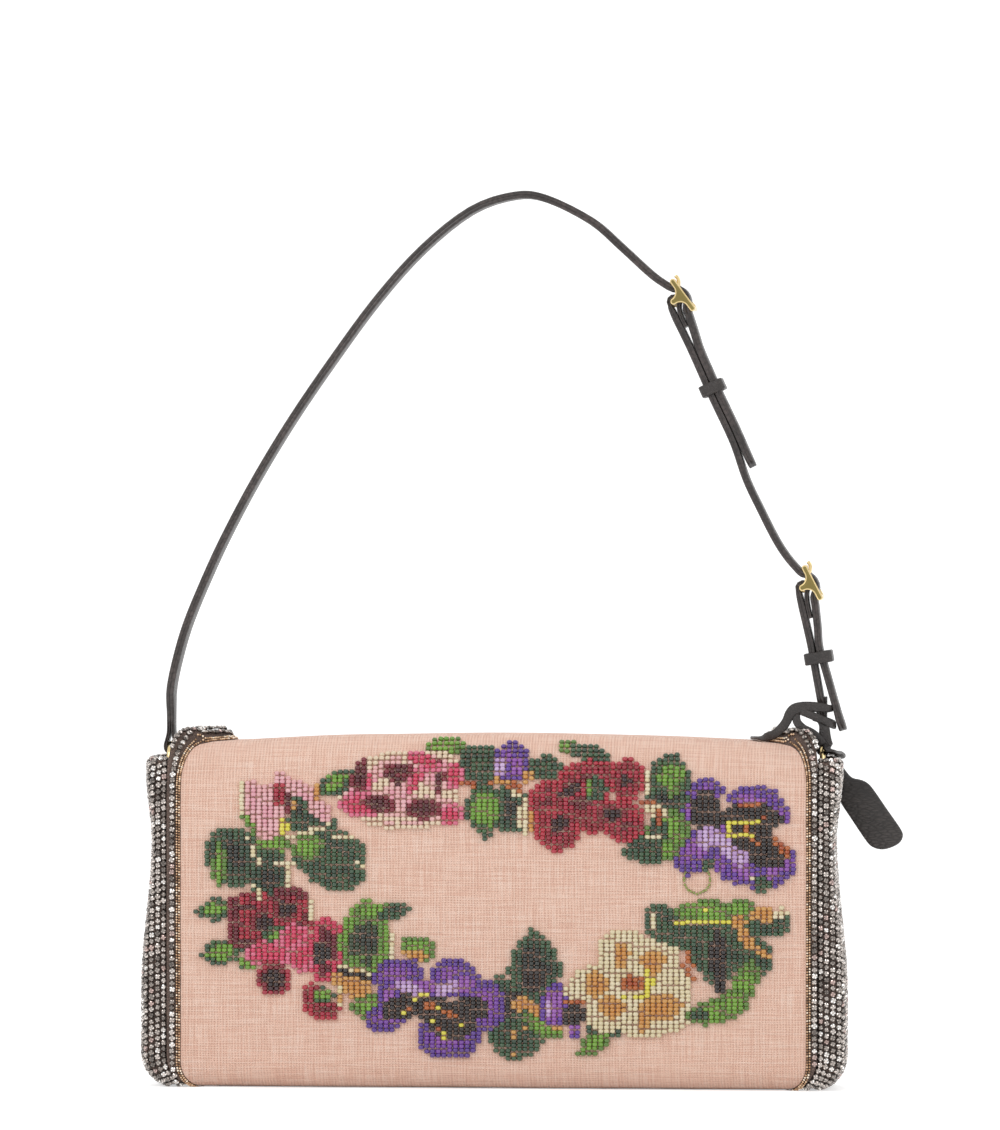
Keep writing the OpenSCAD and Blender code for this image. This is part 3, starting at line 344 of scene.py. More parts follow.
def settle(obj):
    """Turns what the modifiers give into the piece's own mesh."""
    mesh = bpy.data.meshes.new_from_object(obj.evaluated_get(bpy.context.evaluated_depsgraph_get()))
    obj.modifiers.clear()
    obj.data = mesh
    return obj


def thicken(obj, wall):
    """Gives a sheet its thickness in millimetres, behind its face."""
    ply = obj.modifiers.new("ply", "SOLIDIFY")
    ply.thickness, ply.offset = wall * MM, -1
    return settle(obj)


def carve(obj, cutters):
    """Takes shapes out of a closed piece."""
    for cutter in cutters:
        hole = obj.modifiers.new("cut", "BOOLEAN")
        hole.operation, hole.solver, hole.object = "DIFFERENCE", "MANIFOLD", cutter
        settle(obj)
        bpy.data.objects.remove(cutter)
    return obj


def dressed(name, nodes, material, bevel, sharp=35):
    """Copies of solids with softened edges, joined in one piece that stands for them."""
    work = bmesh.new()
    for node in nodes:
        work.from_mesh(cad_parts[node].data)
    bmesh.ops.remove_doubles(work, verts=work.verts, dist=0.01 * MM)
    bmesh.ops.dissolve_limit(work, angle_limit=math.radians(1.5), verts=work.verts, edges=work.edges)
    for face in work.faces:
        face.smooth = True
        face.material_index = 0
    mesh = bpy.data.meshes.new(name)
    work.to_mesh(mesh)
    work.free()
    mesh.materials.append(material)
    obj = bpy.data.objects.new(name, mesh)
    bpy.context.scene.collection.objects.link(obj)
    if bevel:
        soft = obj.modifiers.new("edge", "BEVEL")
        soft.width, soft.segments, soft.angle_limit = bevel * MM, 2, math.radians(sharp)
        settle(obj)
    obj.data.set_sharp_from_angle(angle=math.radians(38))
    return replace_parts(obj, *nodes)


# Crystals, beads and stitches

def set_in_rows():
    """Sets one small shape on each spot, upright on the surface and turned along its row."""
    tree = bpy.data.node_groups.new("set_in_rows", "GeometryNodeTree")
    for name, kind in (("Spots", "Geometry"), ("Shape", "Object"), ("Size", "Vector"),
                       ("Size Play", "Float"), ("Lean Play", "Float"), ("Spin Play", "Float"),
                       ("Seed", "Int"), ("Finish", "Material")):
        tree.interface.new_socket(name, in_out="INPUT", socket_type="NodeSocket" + kind)
    tree.interface.new_socket("Studs", in_out="OUTPUT", socket_type="NodeSocketGeometry")
    given = add(tree, "NodeGroupInput").outputs
    up = add(tree, "GeometryNodeInputNamedAttribute", {"Name": "up"}, data_type="FLOAT_VECTOR")
    along = add(tree, "GeometryNodeInputNamedAttribute", {"Name": "along"}, data_type="FLOAT_VECTOR")
    upright = add(tree, "FunctionNodeAlignRotationToVector", {"Vector": up}, axis="Z")
    in_row = add(tree, "FunctionNodeAlignRotationToVector", {"Rotation": upright, "Vector": along},
                 axis="Y", pivot_axis="Z")
    most = add(tree, "ShaderNodeCombineXYZ", {0: given["Lean Play"], 1: given["Lean Play"],
                                              2: given["Spin Play"]})
    least = add(tree, "ShaderNodeVectorMath", {0: most, "Scale": -1.0}, operation="SCALE")
    play = add(tree, "FunctionNodeRandomValue", {0: least, 1: most, "Seed": given["Seed"]},
               data_type="FLOAT_VECTOR")
    play = add(tree, "FunctionNodeEulerToRotation", {0: play})
    turned = add(tree, "FunctionNodeRotateRotation", {0: in_row, 1: play}, rotation_space="LOCAL")
    small, large = (add(tree, "ShaderNodeMath", {0: 1.0, 1: given["Size Play"]}, operation=how)
                    for how in ("SUBTRACT", "ADD"))
    growth = add(tree, "FunctionNodeRandomValue", {2: small, 3: large, "Seed": given["Seed"]},
                 data_type="FLOAT")
    size = add(tree, "ShaderNodeVectorMath", {0: given["Size"], "Scale": growth}, operation="SCALE")
    shape = add(tree, "GeometryNodeObjectInfo", {"Object": given["Shape"]}).outputs["Geometry"]
    studs = add(tree, "GeometryNodeInstanceOnPoints", {"Points": given["Spots"], "Instance": shape,
                                                       "Rotation": turned, "Scale": size})
    real = add(tree, "GeometryNodeRealizeInstances", {0: studs})
    finished = add(tree, "GeometryNodeSetMaterial", {0: real, "Material": given["Finish"]})
    add(tree, "NodeGroupOutput", {0: finished})
    return tree


ROWS = set_in_rows()


def small_shape(name, rings, sides, smooth, lying=False, painted_belt_light_and_shade=None):
    """A shape one unit across from rings of (radius, height, twist), kept out of the scene. Its faces take
    pairs of painted highlight and painted shade values in turn: one pair for each belt, then the under side
    and the top."""
    points, faces, painted_light_and_shade_of_faces = [], [], []
    for radius, height, twist in rings:
        for i in range(sides):
            turn = math.tau * (i + twist) / sides
            points.append((radius * math.cos(turn), radius * math.sin(turn), height))
    for j in range(len(rings) - 1):
        for i in range(sides):
            a, b = j * sides + i, j * sides + (i + 1) % sides
            c, d = b + sides, a + sides
            belt = [(a, b, c, d)] if rings[j][2] == rings[j + 1][2] else [(a, b, d), (b, c, d)]
            faces += belt
            painted_light_and_shade_of_faces += [painted_belt_light_and_shade[j][(i + k) % 2] if painted_belt_light_and_shade else 1.0 for k in range(len(belt))]
    faces += [tuple(reversed(range(sides))), tuple(range((len(rings) - 1) * sides, len(rings) * sides))]
    painted_light_and_shade_of_faces += painted_belt_light_and_shade[-1] if painted_belt_light_and_shade else (1.0, 1.0)
    mesh = bpy.data.meshes.new(name)
    mesh.from_pydata(points, [], faces)
    mesh.attributes.new("painted_face_light_and_shade", "FLOAT", "FACE").data.foreach_set("value", painted_light_and_shade_of_faces)
    mesh.polygons.foreach_set("use_smooth", [smooth] * len(mesh.polygons))
    if lying:
        mesh.transform(Matrix.Rotation(math.pi / 2, 4, "X"))
    return bpy.data.objects.new(name, mesh)


# Rings of (radius, height, twist) for a stone: its foiled foot, girdle, crown and table
STONE_RINGS = [(0.42, 0, 0), (0.5, 0.16, 0), (0.42, 0.42, 0.5), (0.22, 0.58, 1)]
# Painted light and shade on the stone: dark foot and girdle, crown faces dark and bright in turn, a dark
# under side and a bright table
CUT_CRYSTAL = small_shape("cut_crystal", STONE_RINGS, 8, False,
                          painted_belt_light_and_shade=((0.35, 0.35), (0.4, 1.3), (2.0, 0.5), (0.2, 1.1)))


def barrel(end, end_at, belly, belly_at):
    """Rings of a rounded barrel: radius and height of its ends and of its belly."""
    return [(end, -end_at, 0), (belly, -belly_at, 0), (belly, belly_at, 0), (end, end_at, 0)]


SEED_BEAD = small_shape("seed_bead", barrel(0.3, 0.5, 0.5, 0.22), 8, True, True)
ROUND_BEAD = small_shape("round_bead", barrel(0.22, 0.46, 0.48, 0.18), 7, True)
STITCH = small_shape("stitch", barrel(0.2, 0.5, 0.5, 0.3), 6, True, True)


def studded(name, spots, shape, size, material, size_play=0.0, lean_play=0.0, spin_play=0.0, seed=1):
    """One mesh of small shapes; each spot is its place, its upright, its row's direction and its tint."""
    mesh = bpy.data.meshes.new(name)
    mesh.from_pydata([Vector(spot[0]) * MM for spot in spots], [], [])
    for i, key, kind, field in ((1, "up", "FLOAT_VECTOR", "vector"), (2, "along", "FLOAT_VECTOR", "vector"),
                                (3, "tint", "FLOAT_COLOR", "color")):
        layer = mesh.attributes.new(key, kind, "POINT")
        layer.data.foreach_set(field, [c for spot in spots for c in spot[i]])
    obj = bpy.data.objects.new(name, mesh)
    bpy.context.scene.collection.objects.link(obj)
    rows = obj.modifiers.new("rows", "NODES")
    rows.node_group = ROWS
    values = {"Shape": shape, "Size": [side * MM for side in size], "Size Play": size_play,
              "Lean Play": lean_play, "Spin Play": spin_play, "Seed": seed, "Finish": material}
    for socket in ROWS.interface.items_tree:
        if socket.name in values:
            rows[socket.identifier] = values[socket.name]
    settle(obj)
    for key in ("up", "along"):
        obj.data.attributes.remove(obj.data.attributes[key])
    return obj


def pick(rng, tints):
    """One tint out of those with their shares."""
    return linear(rng.choices([tint for tint, weight in tints], [weight for tint, weight in tints])[0])


# The cloth body

class Ply:
    """A cloth that bends only across the bag: a place on it is known by X and the length along its path."""

    def __init__(self, path):
        self.line = even(path, 0.5)
        self.step = (self.line[1] - self.line[0]).length
        self.length = self.step * (len(self.line) - 1)

    def place(self, s):
        """Point and outward direction in Y and Z at a length along the path."""
        i = min(int(max(s, 0) / self.step), len(self.line) - 2)
        share = s / self.step - i
        out = left_of(heading(self.line, i)).lerp(left_of(heading(self.line, i + 1)), clamp(share))
        return self.line[i].lerp(self.line[i + 1], share), out.normalized()

    def on(self, x, s, lift=0.0):
        """The place in space: the top fold sinks towards its ends, but not under its corners' crystals."""
        (y, z), out = self.place(s)
        y, z = y + out[0] * lift, z + out[1] * lift
        edge = plain_half(s) if self is COVER else PANEL_HALF
        drop = FOLD_SINK * (min(abs(x), edge) / 108) ** 2.2
        if abs(x) > edge:
            drop = mix(drop, -CORNER_RISE, ease((abs(x) - edge) / 6))
        return Vector((x, y, z - drop * ease((z - SINK_FROM) / (BODY_H - SINK_FROM))))

    def up(self, s):
        out = self.place(s)[1]
        return Vector((0, out[0], out[1]))

    def at_height(self, z):
        """Length along the path where it first reaches a height."""
        return next(i for i, p in enumerate(self.line) if p[1] >= z) * self.step


BACK_PATH = (ellipse((BOTTOM_R - BACK_Y, BOTTOM_R), (BOTTOM_R, BOTTOM_R), 270, 180, 16)
             + ellipse((ROLL_IN - BACK_Y, BODY_H - ROLL_H), (ROLL_IN, ROLL_H), 180, 135, 16))
FLAP_PATH = (ellipse((ROLL_IN - BACK_Y, BODY_H - ROLL_H), (ROLL_IN, ROLL_H), 133.5, 90, 16)
             + ellipse((FLAP_Y - FLAP_ROLL, BODY_H - FLAP_ROLL), (FLAP_ROLL, FLAP_ROLL), 90, 0, 24)[1:]
             + [Vector((FLAP_Y, FLAP_LOW))])
FRONT_PATH = ([Vector((FRONT_Y, FRONT_H))]
              + ellipse((FRONT_Y - BOTTOM_R, BOTTOM_R), (BOTTOM_R, BOTTOM_R), 0, -90, 16))
COVER, FRONT = Ply(BACK_PATH + FLAP_PATH), Ply(FRONT_PATH)
HINGE_S = sum((b - a).length for a, b in zip(BACK_PATH, BACK_PATH[1:])) + 0.5
# Lengths along the cover at which the plain linen's top corner starts and ends
CORNER_S = (COVER.at_height(CORNER_Z),
            next(i for i, p in enumerate(COVER.line) if p[0] > CORNER_END_Y) * COVER.step)


def turned_in(share):
    """How far a quarter round has turned in, as a share, at a share of its length."""
    return 1 - math.sqrt(max(0, 1 - share ** 2))


def linen_half(z):
    """Half width of the plain linen at a height, below its top corners."""
    return PANEL_HALF - (LOW_CORNER[0] * turned_in(1 - z / LOW_CORNER[1]) if z < LOW_CORNER[1] else 0)


def band_half(z):
    """Half width of the panels at a height, out to the edge of their crystal bands."""
    if z < BAND_LOW[1]:
        return BAND_X - BAND_LOW[0] * turned_in(1 - z / BAND_LOW[1])
    if z > BAND_TOP_Z - BAND_TOP[1]:
        return BAND_X - BAND_TOP[0] * turned_in((z - BAND_TOP_Z + BAND_TOP[1]) / BAND_TOP[1])
    return BAND_X


def over_the_top(s):
    """Share of the way from the hinge to where the flap has its full narrowing."""
    return clamp((COVER.place(s)[0][0] - HINGE_Y) / FLAP_TAPER)


def flap_half(s):
    """Half width of the flap at a length along the cover, bands included."""
    half = mix(FLAP_ROOT_X + 1.2, FLAP_X, over_the_top(s) ** 2.2)
    rise = COVER.length - s
    if rise < FLAP_R:
        half -= FLAP_R * turned_in(1 - rise / FLAP_R)
    return half


def cover_half(s):
    """Half width of the whole back and flap, bands included."""
    z = COVER.place(min(s, HINGE_S))[0][1]
    return mix(band_half(z), flap_half(s), ease((s - HINGE_S + 3) / 6))


def plain_half(s):
    """Half width of the plain linen on the back and flap, out to its trim."""
    if s < CORNER_S[0]:
        return linen_half(COVER.place(s)[0][1])
    if s < CORNER_S[1]:
        return PANEL_HALF - CORNER_IN * turned_in((s - CORNER_S[0]) / (CORNER_S[1] - CORNER_S[0]))
    rise = max(FLAP_BAND, COVER.length - s)
    if rise < FLAP_R:
        return FLAP_X - FLAP_R + math.sqrt(max(0, (FLAP_R - FLAP_BAND) ** 2 - (FLAP_R - rise) ** 2))
    away = clamp((COVER.place(s)[0][0] - CORNER_END_Y) / 14)
    return mix(PANEL_HALF - CORNER_IN, FLAP_X - FLAP_BAND, away ** 0.8)


def drift(ply, s):
    """How far the plain linen lies to the right at a length: none on the flap's face and the front."""
    return LINEN_SHIFT * clamp((HINGE_Y + FLAP_TAPER - ply.place(s)[0][0]) / FLAP_TAPER)


def across(half, plain, shift):
    """Places across a sheet: a few in each band, and the rest in the plain cloth between them."""
    low, high = (shift - plain, shift + plain) if plain else (-half * 0.9, half * 0.9)
    return ([mix(-half, low, k / BAND_STEPS) for k in range(BAND_STEPS)]
            + [mix(low, high, k / PLAIN_STEPS) for k in range(PLAIN_STEPS + 1)]
            + [mix(high, half, k / BAND_STEPS) for k in range(1, BAND_STEPS + 1)])


def soft_sheet(name, ply, half_of, starts, ends, wall, material, plain_of=None, lift=0.0, ripple=0.35,
               hem=0.0):
    """A cloth on a ply, a little uneven, with its edges drawn in and its own thickness behind its face.
    Outside the plain cloth, and within the hem at its end, it is the net that the crystals are set on, dark
    with painted shade."""
    rows = max(4, round((ends - hem - starts) / 2.3))
    lengths = [mix(starts, ends - hem, j / rows) for j in range(rows + 1)]
    lengths += [ends - hem / 2, ends] if hem else []
    points, uv = [], []
    for s in lengths:
        half = half_of(s)
        for x in across(half, plain_of(s) if plain_of else 0, drift(ply, s)):
            swell = noise.noise(Vector((x / 38, s / 30, lift))) * ripple - ripple * 0.5
            rim = min(half - abs(x), s - starts + 4, ends - s + 4)
            points.append(ply.on(x, s, lift + swell * clamp(rim / 10) - 0.25 * clamp(1 - rim / 3)))
            uv.append((x, s))
    steps = PLAIN_STEPS + 2 * BAND_STEPS
    sheet = piece(name, points, weave(len(lengths), steps + 1), material, uv)
    if plain_of:
        sheet.data.materials.append(NET_DARK_WITH_PAINTED_SHADE)
        for i, face in enumerate(sheet.data.polygons):
            plain = BAND_STEPS <= i % steps < steps - BAND_STEPS and i // steps < rows
            face.material_index = 0 if plain else 1
    return thicken(sheet, wall)


cover = soft_sheet("linen_back_and_flap", COVER, cover_half, 0, COVER.length, 1.4, LINEN, plain_half,
                   hem=FLAP_BAND)
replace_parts(cover, "back_panel", "flap_panel")
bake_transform(cover)



def front_plain_half(s):
    return linen_half(FRONT.place(s)[0][1])


front = soft_sheet("linen_front", FRONT, lambda s: band_half(FRONT.place(s)[0][1]), 0, FRONT.length, 1.8,
                   LINEN, front_plain_half)
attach(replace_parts(front, "front_panel"), "body")


def flat_bottom():
    """The bottom cloth: flat where the bag stands, a little higher along its ends."""
    half, back, front_end = 112.4, -16.2, 13.7
    points, uv = [], []
    for j in range(13):
        for i in range(91):
            x, y = half * (i / 45 - 1), mix(back, front_end, j / 12)
            rise = 0.25 * abs(noise.noise(Vector((x / 30, y / 9, 3)))) + 0.3 * clamp((abs(x) - 106) / 6)
            points.append((x, y, 0.02 + rise))
            uv.append((x, y))
    return thicken(piece("linen_bottom", points, [f[::-1] for f in weave(13, 91)], LINEN, uv), 1.6)


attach(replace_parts(flat_bottom(), "bottom_panel"), "body")

flap_lining = soft_sheet("satin_flap_lining", COVER, lambda s: flap_half(s) - 0.6, HINGE_S + 2,
                         COVER.length - 0.8, 0.7, SATIN, lift=-1.75, ripple=0.15)
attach(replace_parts(flap_lining, "flap_lining"), "flap")


# Edges: gold trim and crystal bands

def border(ply, plain_of, starts, ends, side, out):
    """A line on a ply at a distance outside the plain linen's edge, as (X, length along the path)."""
    lengths = [mix(starts, ends, k / 400) for k in range(401)]
    outline = even([Vector((side * plain_of(s) + drift(ply, s), s)) for s in lengths], 0.5)
    return moved(outline, -out * side)


def spots_along(ply, line, pitch, lift, tints, rng):
    """Evenly spaced spots for studs on a line of (X, length along the path)."""
    line = even(line, pitch)
    spots = []
    for i, (x, s) in enumerate(line):
        before, after = line[max(i - 1, 0)], line[min(i + 1, len(line) - 1)]
        along = ply.on(after[0], after[1]) - ply.on(before[0], before[1])
        spots.append((ply.on(x, s, lift), ply.up(s), along, pick(rng, tints)))
    return spots


def flap_line(out):
    """The line round the flap outside its plain linen, from one end of the hinge to the other."""
    corner, sides = FLAP_R - FLAP_BAND + out, {}
    for side in (-1, 1):
        edge = border(COVER, plain_half, HINGE_S + 1.2, COVER.length - FLAP_R, side, out)
        turn = ellipse((FLAP_X - FLAP_R, COVER.length - FLAP_R), (corner, corner), 0, 90, 12)
        sides[side] = edge + [Vector((side * p[0], p[1])) for p in turn[1:]]
    return sides[1] + sides[-1][::-1]


def inside(line, half_of):
    """The stretch of a line that keeps clear of a sheet's own edge."""
    return [p for p in line if abs(p[0]) < half_of(p[1]) - 0.8]


rng = random.Random(11)
# Rows of gold beads and of crystals outside the plain linen's edge, and their spacing along a row
TRIM_OUT, STONES_OUT, TRIM_PITCH, STONE_PITCH = (0.55, 1.5), (3.25, 5.45, 7.65, 9.85, 12.05), 1.02, 2.35
# Shape, size in millimetres, finish and play of a gold bead and of a crystal
TRIM_LOOK = (ROUND_BEAD, (0.92, 0.92, 0.9), TRIM_BEAD, 0.08, 0.15)
STONE_LOOK = (CUT_CRYSTAL, (2.35, 2.4, 2.0), CRYSTAL, 0.1, 0.2, 3)
for edge, ply, ends in (("back", COVER, HINGE_S + 0.6), ("front", FRONT, FRONT.length)):
    plain_of = plain_half if ply is COVER else front_plain_half
    whole_of = lambda s, ply=ply: band_half(ply.place(s)[0][1])
    for word, side in (("left", -1), ("right", 1)):
        beads, stones = [], []
        for out in TRIM_OUT:
            line = border(ply, plain_of, 0, ends, side, out)
            beads += spots_along(ply, line, TRIM_PITCH, 0.3, GOLD_TINTS, rng)
        for i, out in enumerate(STONES_OUT):
            line = inside(border(ply, plain_of, 0.4, ends, side, out), whole_of)[2 * i:]
            if len(line) > 4:
                stones += spots_along(ply, line, STONE_PITCH, 0.1, CRYSTAL_TINTS, rng)
        trim = studded(f"gold_trim_{edge}_{word}", beads, *TRIM_LOOK)
        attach(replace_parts(trim, f"{edge}_trim_{word}"), "body")
        band = studded(f"crystal_band_{edge}_{word}", stones, *STONE_LOOK)
        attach(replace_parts(band, f"{edge}_band_{word}"), "body")

beads = [spot for out in TRIM_OUT
         for spot in spots_along(COVER, flap_line(out), TRIM_PITCH, 0.3, GOLD_TINTS, rng)]
stones = [spot for out in STONES_OUT[:2]
          for spot in spots_along(COVER, flap_line(out), STONE_PITCH, 0.05, CRYSTAL_TINTS, rng)]
for side in (-1, 1):
    for i, out in enumerate(STONES_OUT[2:]):
        edge = border(COVER, plain_half, HINGE_S + 1.2, COVER.length - 60, side, out)
        line = inside(edge, flap_half)[i:]
        if len(line) > 4:
            stones += spots_along(COVER, line, STONE_PITCH, 0.05, CRYSTAL_TINTS, rng)
band = studded("crystal_band_flap", stones, *STONE_LOOK)
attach(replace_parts(band, "flap_band"), "flap")
trim = studded("gold_trim_flap", beads, *TRIM_LOOK)
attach(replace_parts(trim, "flap_trim"), "flap")


# Crystal sides

def rounded_foot(face, radius, z):
    """How far out a face lies at a height, above or within the rounding at its foot."""
    return face if z > radius else face - radius + math.sqrt(max(0, radius ** 2 - (radius - z) ** 2))


def back_depth(z):
    if z < BODY_H - ROLL_H:
        return rounded_foot(BACK_Y, BOTTOM_R, z)
    return BACK_Y - ROLL_IN * turned_in((z - BODY_H + ROLL_H) / ROLL_H)


def front_depth(z):
    return rounded_foot(FRONT_Y, BOTTOM_R, z)


def side_x(z):
    """How far a side bulges out at a height: rounded below, drawn in at its waist, wider at its rim."""
    if z < SIDE_R:
        return rounded_foot(SIDE_LOW_X, SIDE_R, z)
    low, waist = SIDE_H * 0.3, SIDE_H * 0.76
    if z < waist:
        return mix(SIDE_LOW_X, SIDE_WAIST_X, ease((z - low) / (waist - low)))
    return mix(SIDE_WAIST_X, SIDE_TOP_X + 0.8, ease((z - waist) / (SIDE_H - waist - 4)))


def side_row(z, inset, steps):
    """Points across a bulging side at a height, evenly spaced from its back seam to its front seam. The
    bulge is fullest towards the back."""
    back, front_seam = back_depth(z) - 0.4 - inset, front_depth(z) - 0.4 - inset
    seam = BAND_X + 0.1
    if z < BAND_LOW[1]:
        seam -= BAND_LOW[0] * turned_in(1 - z / BAND_LOW[1])
    row = []
    for k in range(61):
        turn = math.radians(-90 + 3 * k)
        deep = math.sin(turn) - 0.5 * math.cos(turn) ** 2
        row.append(Vector((seam + (side_x(z) - inset - seam) * max(0, math.cos(turn)) ** 0.8,
                           (front_seam - back) / 2 + (front_seam + back) / 2 * deep, z)))
    return even(row, sum((b - a).length for a, b in zip(row, row[1:])) / steps)


def side_heights(inset, pitch, low, high):
    """Heights at even distances along a side's profile, from its rounded bottom up."""
    heights = [mix(low, high, (k / 300) ** 2) for k in range(301)]
    profile = [Vector((side_x(z) - inset, z)) for z in heights]
    return [p[1] for p in even(profile, pitch)]


def mirrored(points, side):
    return [Vector((side * p[0], p[1], p[2])) for p in points]


def crystal_side(word, side, rng):
    """A side's net, with its crystals in upright columns and one row of them lying over its rim."""
    rows = [side_row(z, 1.2, 40) for z in side_heights(1.2, 3, 0.7, SIDE_H - 0.2)]
    faces = weave(len(rows), 41)
    faces += [(i, 40 - i, 39 - i, i + 1) for i in range(20)]
    # The net is dark with painted shade between the crystals
    net = piece(f"side_net_{word}", mirrored([p for row in rows for p in row], side),
                [f if side > 0 else f[::-1] for f in faces], NET_DARK_WITH_PAINTED_SHADE)
    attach(thicken(net, 1.9), "body")
    count = 24
    rows = [side_row(z, 1.1, 2 * count) for z in side_heights(1.1, STONE_PITCH / 3, 0.9, SIDE_H - 1.0)]
    spots = []
    for i in range(1, 2 * count, 2):
        for j in range(i % 3, len(rows), 3):
            row, above, below = rows[j], rows[min(j + 1, len(rows) - 1)], rows[max(j - 1, 0)]
            along, over = above[i] - below[i], row[i + 1] - row[i - 1]
            up, along, spot = mirrored((over.cross(along).normalized(), along, row[i]), side)
            spots.append((spot, up, along, pick(rng, CRYSTAL_TINTS)))
    rim, straight_up = side_row(SIDE_H, 2.0, 2 * count), Vector((0, 0, 1))
    for i in range(1, 2 * count, 2):
        over = rim[i + 1] - rim[i - 1]
        leaning = over.cross(straight_up).normalized() + Vector((0, 0, 1.2))
        up, along, spot = mirrored((leaning, over, rim[i] + Vector((0, 0, 0.1))), side)
        spots.append((spot, up, along, pick(rng, CRYSTAL_TINTS)))
    stones = studded(f"crystal_side_{word}", spots, *STONE_LOOK, 5)
    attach(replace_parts(stones, f"gusset_{word}"), "body")


crystal_side("left", -1, rng)
crystal_side("right", 1, rng)


# Lining and inner pocket

def lining_tube():
    """The lining's four walls in one cloth that hangs a little loose between its seams."""
    heights = [mix(5.1, LINING_H, k / 46) for k in range(47)]
    points, across = [], 48
    for z in heights:
        side = side_row(z, 3.7, 14)
        back_end, front_end = side[0][0], side[-1][0]
        wall = [Vector((mix(-back_end, back_end, k / across), -back_depth(z) + 3.0, z))
                for k in range(1, across)]
        face = [Vector((mix(front_end, -front_end, k / across), front_depth(z) - 3.0, z))
                for k in range(1, across)]
        row = wall + side + face + [Vector((-p[0], p[1], z)) for p in reversed(side)]
        for p in row:
            loose = clamp((123 - abs(p[0])) / 20) * clamp((LINING_H - z + 3) / 12)
            give = (noise.noise(Vector((p[0] / 21, p[1] / 40, z / 55))) + 0.45) * 1.1 * loose
            points.append((p[0], p[1] - math.copysign(max(0, give), p[1]), z))
    columns = len(points) // len(heights)
    faces = [face[::-1] for face in weave(len(heights), columns, True)]
    return thicken(piece("satin_lining_walls", points, faces, SATIN), 0.6)


def lining_floor():
    """The lining's floor, a little uneven over the board."""
    points = []
    for j in range(15):
        for i in range(81):
            x, y = 113.5 * (i / 40 - 1), mix(-20.2, 17.7, j / 14)
            points.append((x, y, 4.95 + 0.5 * abs(noise.noise(Vector((x / 24, y / 12, 7))))))
    return thicken(piece("satin_lining_floor", points, weave(15, 81), SATIN), 0.6)


def pocket_front():
    """The pocket's cloth, sewn flat at its sides and lower edge and standing off below the zip."""
    half, low, high = POCKET_W / 2, POCKET_LOW, ZIP_Z - 0.35
    points = []
    for j in range(33):
        for i in range(61):
            x, z = half * (i / 30 - 1), mix(low, high, j / 32)
            rise = ease(min(half - abs(x), z - low) / 7) * mix(0.65, 1, clamp((z - low) / 60))
            slack = noise.noise(Vector((x / 19, z / 30, 5))) * 0.35 * rise * clamp((high - z) / 8)
            points.append((x, mix(-21.3, -15.55, rise) + slack, z))
    return thicken(piece("satin_pocket", points, [face[::-1] for face in weave(33, 61)], SATIN), 0.6)


for obj, nodes in ((lining_tube(), ("lining_back", "lining_front", "lining_left", "lining_right")),
                   (lining_floor(), ("lining_bottom",)), (pocket_front(), ("pocket_panel",)),
                   (dressed("zip_tape_cloth", ["zip_tape"], SATIN, 0), ())):
    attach(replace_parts(obj, *nodes) if nodes else obj, "body")

# Stitches round the pocket's lower edge and sides, and along the front's hem
SEWN_Y, STITCH_PITCH, SEWN_TINT = -20.9, 2.6, linear("#C9BEB2")
sewn = [(Vector((STITCH_PITCH * k - 72.8, SEWN_Y, POCKET_LOW + 1.6)), (0, 1, 0), (1, 0, 0), SEWN_TINT)
        for k in range(57)]
sewn += [(Vector((x, SEWN_Y, POCKET_LOW + STITCH_PITCH * k)), (0, 1, 0), (0, 0, 1), SEWN_TINT)
         for x in (-73.3, 73.3) for k in range(1, 28)]
sewn += spots_along(FRONT, [Vector((-108, 3.2)), Vector((108, 3.2))], 3.1, 0.05, (("#DDB39C", 1),), rng)
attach(studded("hem_and_pocket_stitches", sewn, STITCH, (0.5, 2.0, 0.42), THREAD, 0.04, 0.05, 0.05, 3),
        "body")


# Beaded flowers

# Tints from a petal's rim to its middle
PALE_PINK = ("#E0ABAD", "#E4B2B7", "#DFA3AE")
CREAM_PINK = ("#E2CDB2", "#E3B2B0", "#DF9BA8")
HOT_PINK = ("#D66E89", "#CF4466", "#CC3C5C")
PINK_WINE = ("#C63A59", "#C23354", "#6B1B2B", "#571825")
WINE = ("#7A1C2E", "#621826", "#4E141F")
RED = ("#B02A3C", "#8E1D2E", "#A3223A", "#6A1A27")
RED_NIGHT = ("#A3243A", "#7E1C2C", "#3A1B20", "#2A1A1C")
NIGHT = ("#2B2524", "#241F20")
LEAF_DARK = ("#3E5A3E", "#34503A", "#2C4232", "#3A573A")
LEAF_NIGHT = ("#3F5A3F", "#2F4634", "#272C28")
LEAF_FRESH = ("#5B7E35", "#6E9A36", "#78A53C")
LEAF_RIM = ("#6E9A36", "#62883A", "#34452F", "#2B332B")
LEAF_LIT = ("#36503A", "#3F6038", "#6C9836", "#77A33A")
CREAM = ("#DDD0AC", "#E2D6B6", "#D9CAA2")
CREAM_GOLD = ("#DCCFA8", "#DBC793", "#CF9B55")
AMBER = ("#CE9A55", "#C98C45")
RUST = ("#B4622D", "#A24A22")
YELLOW = ("#DCD24C", "#E2D85A")
PURPLE = ("#5C3A8E", "#75429F", "#8A4FA6")
VIOLET = ("#623C98", "#8F52A8", "#9A5FB0")
LILAC = ("#B896C6", "#CBB0D6")

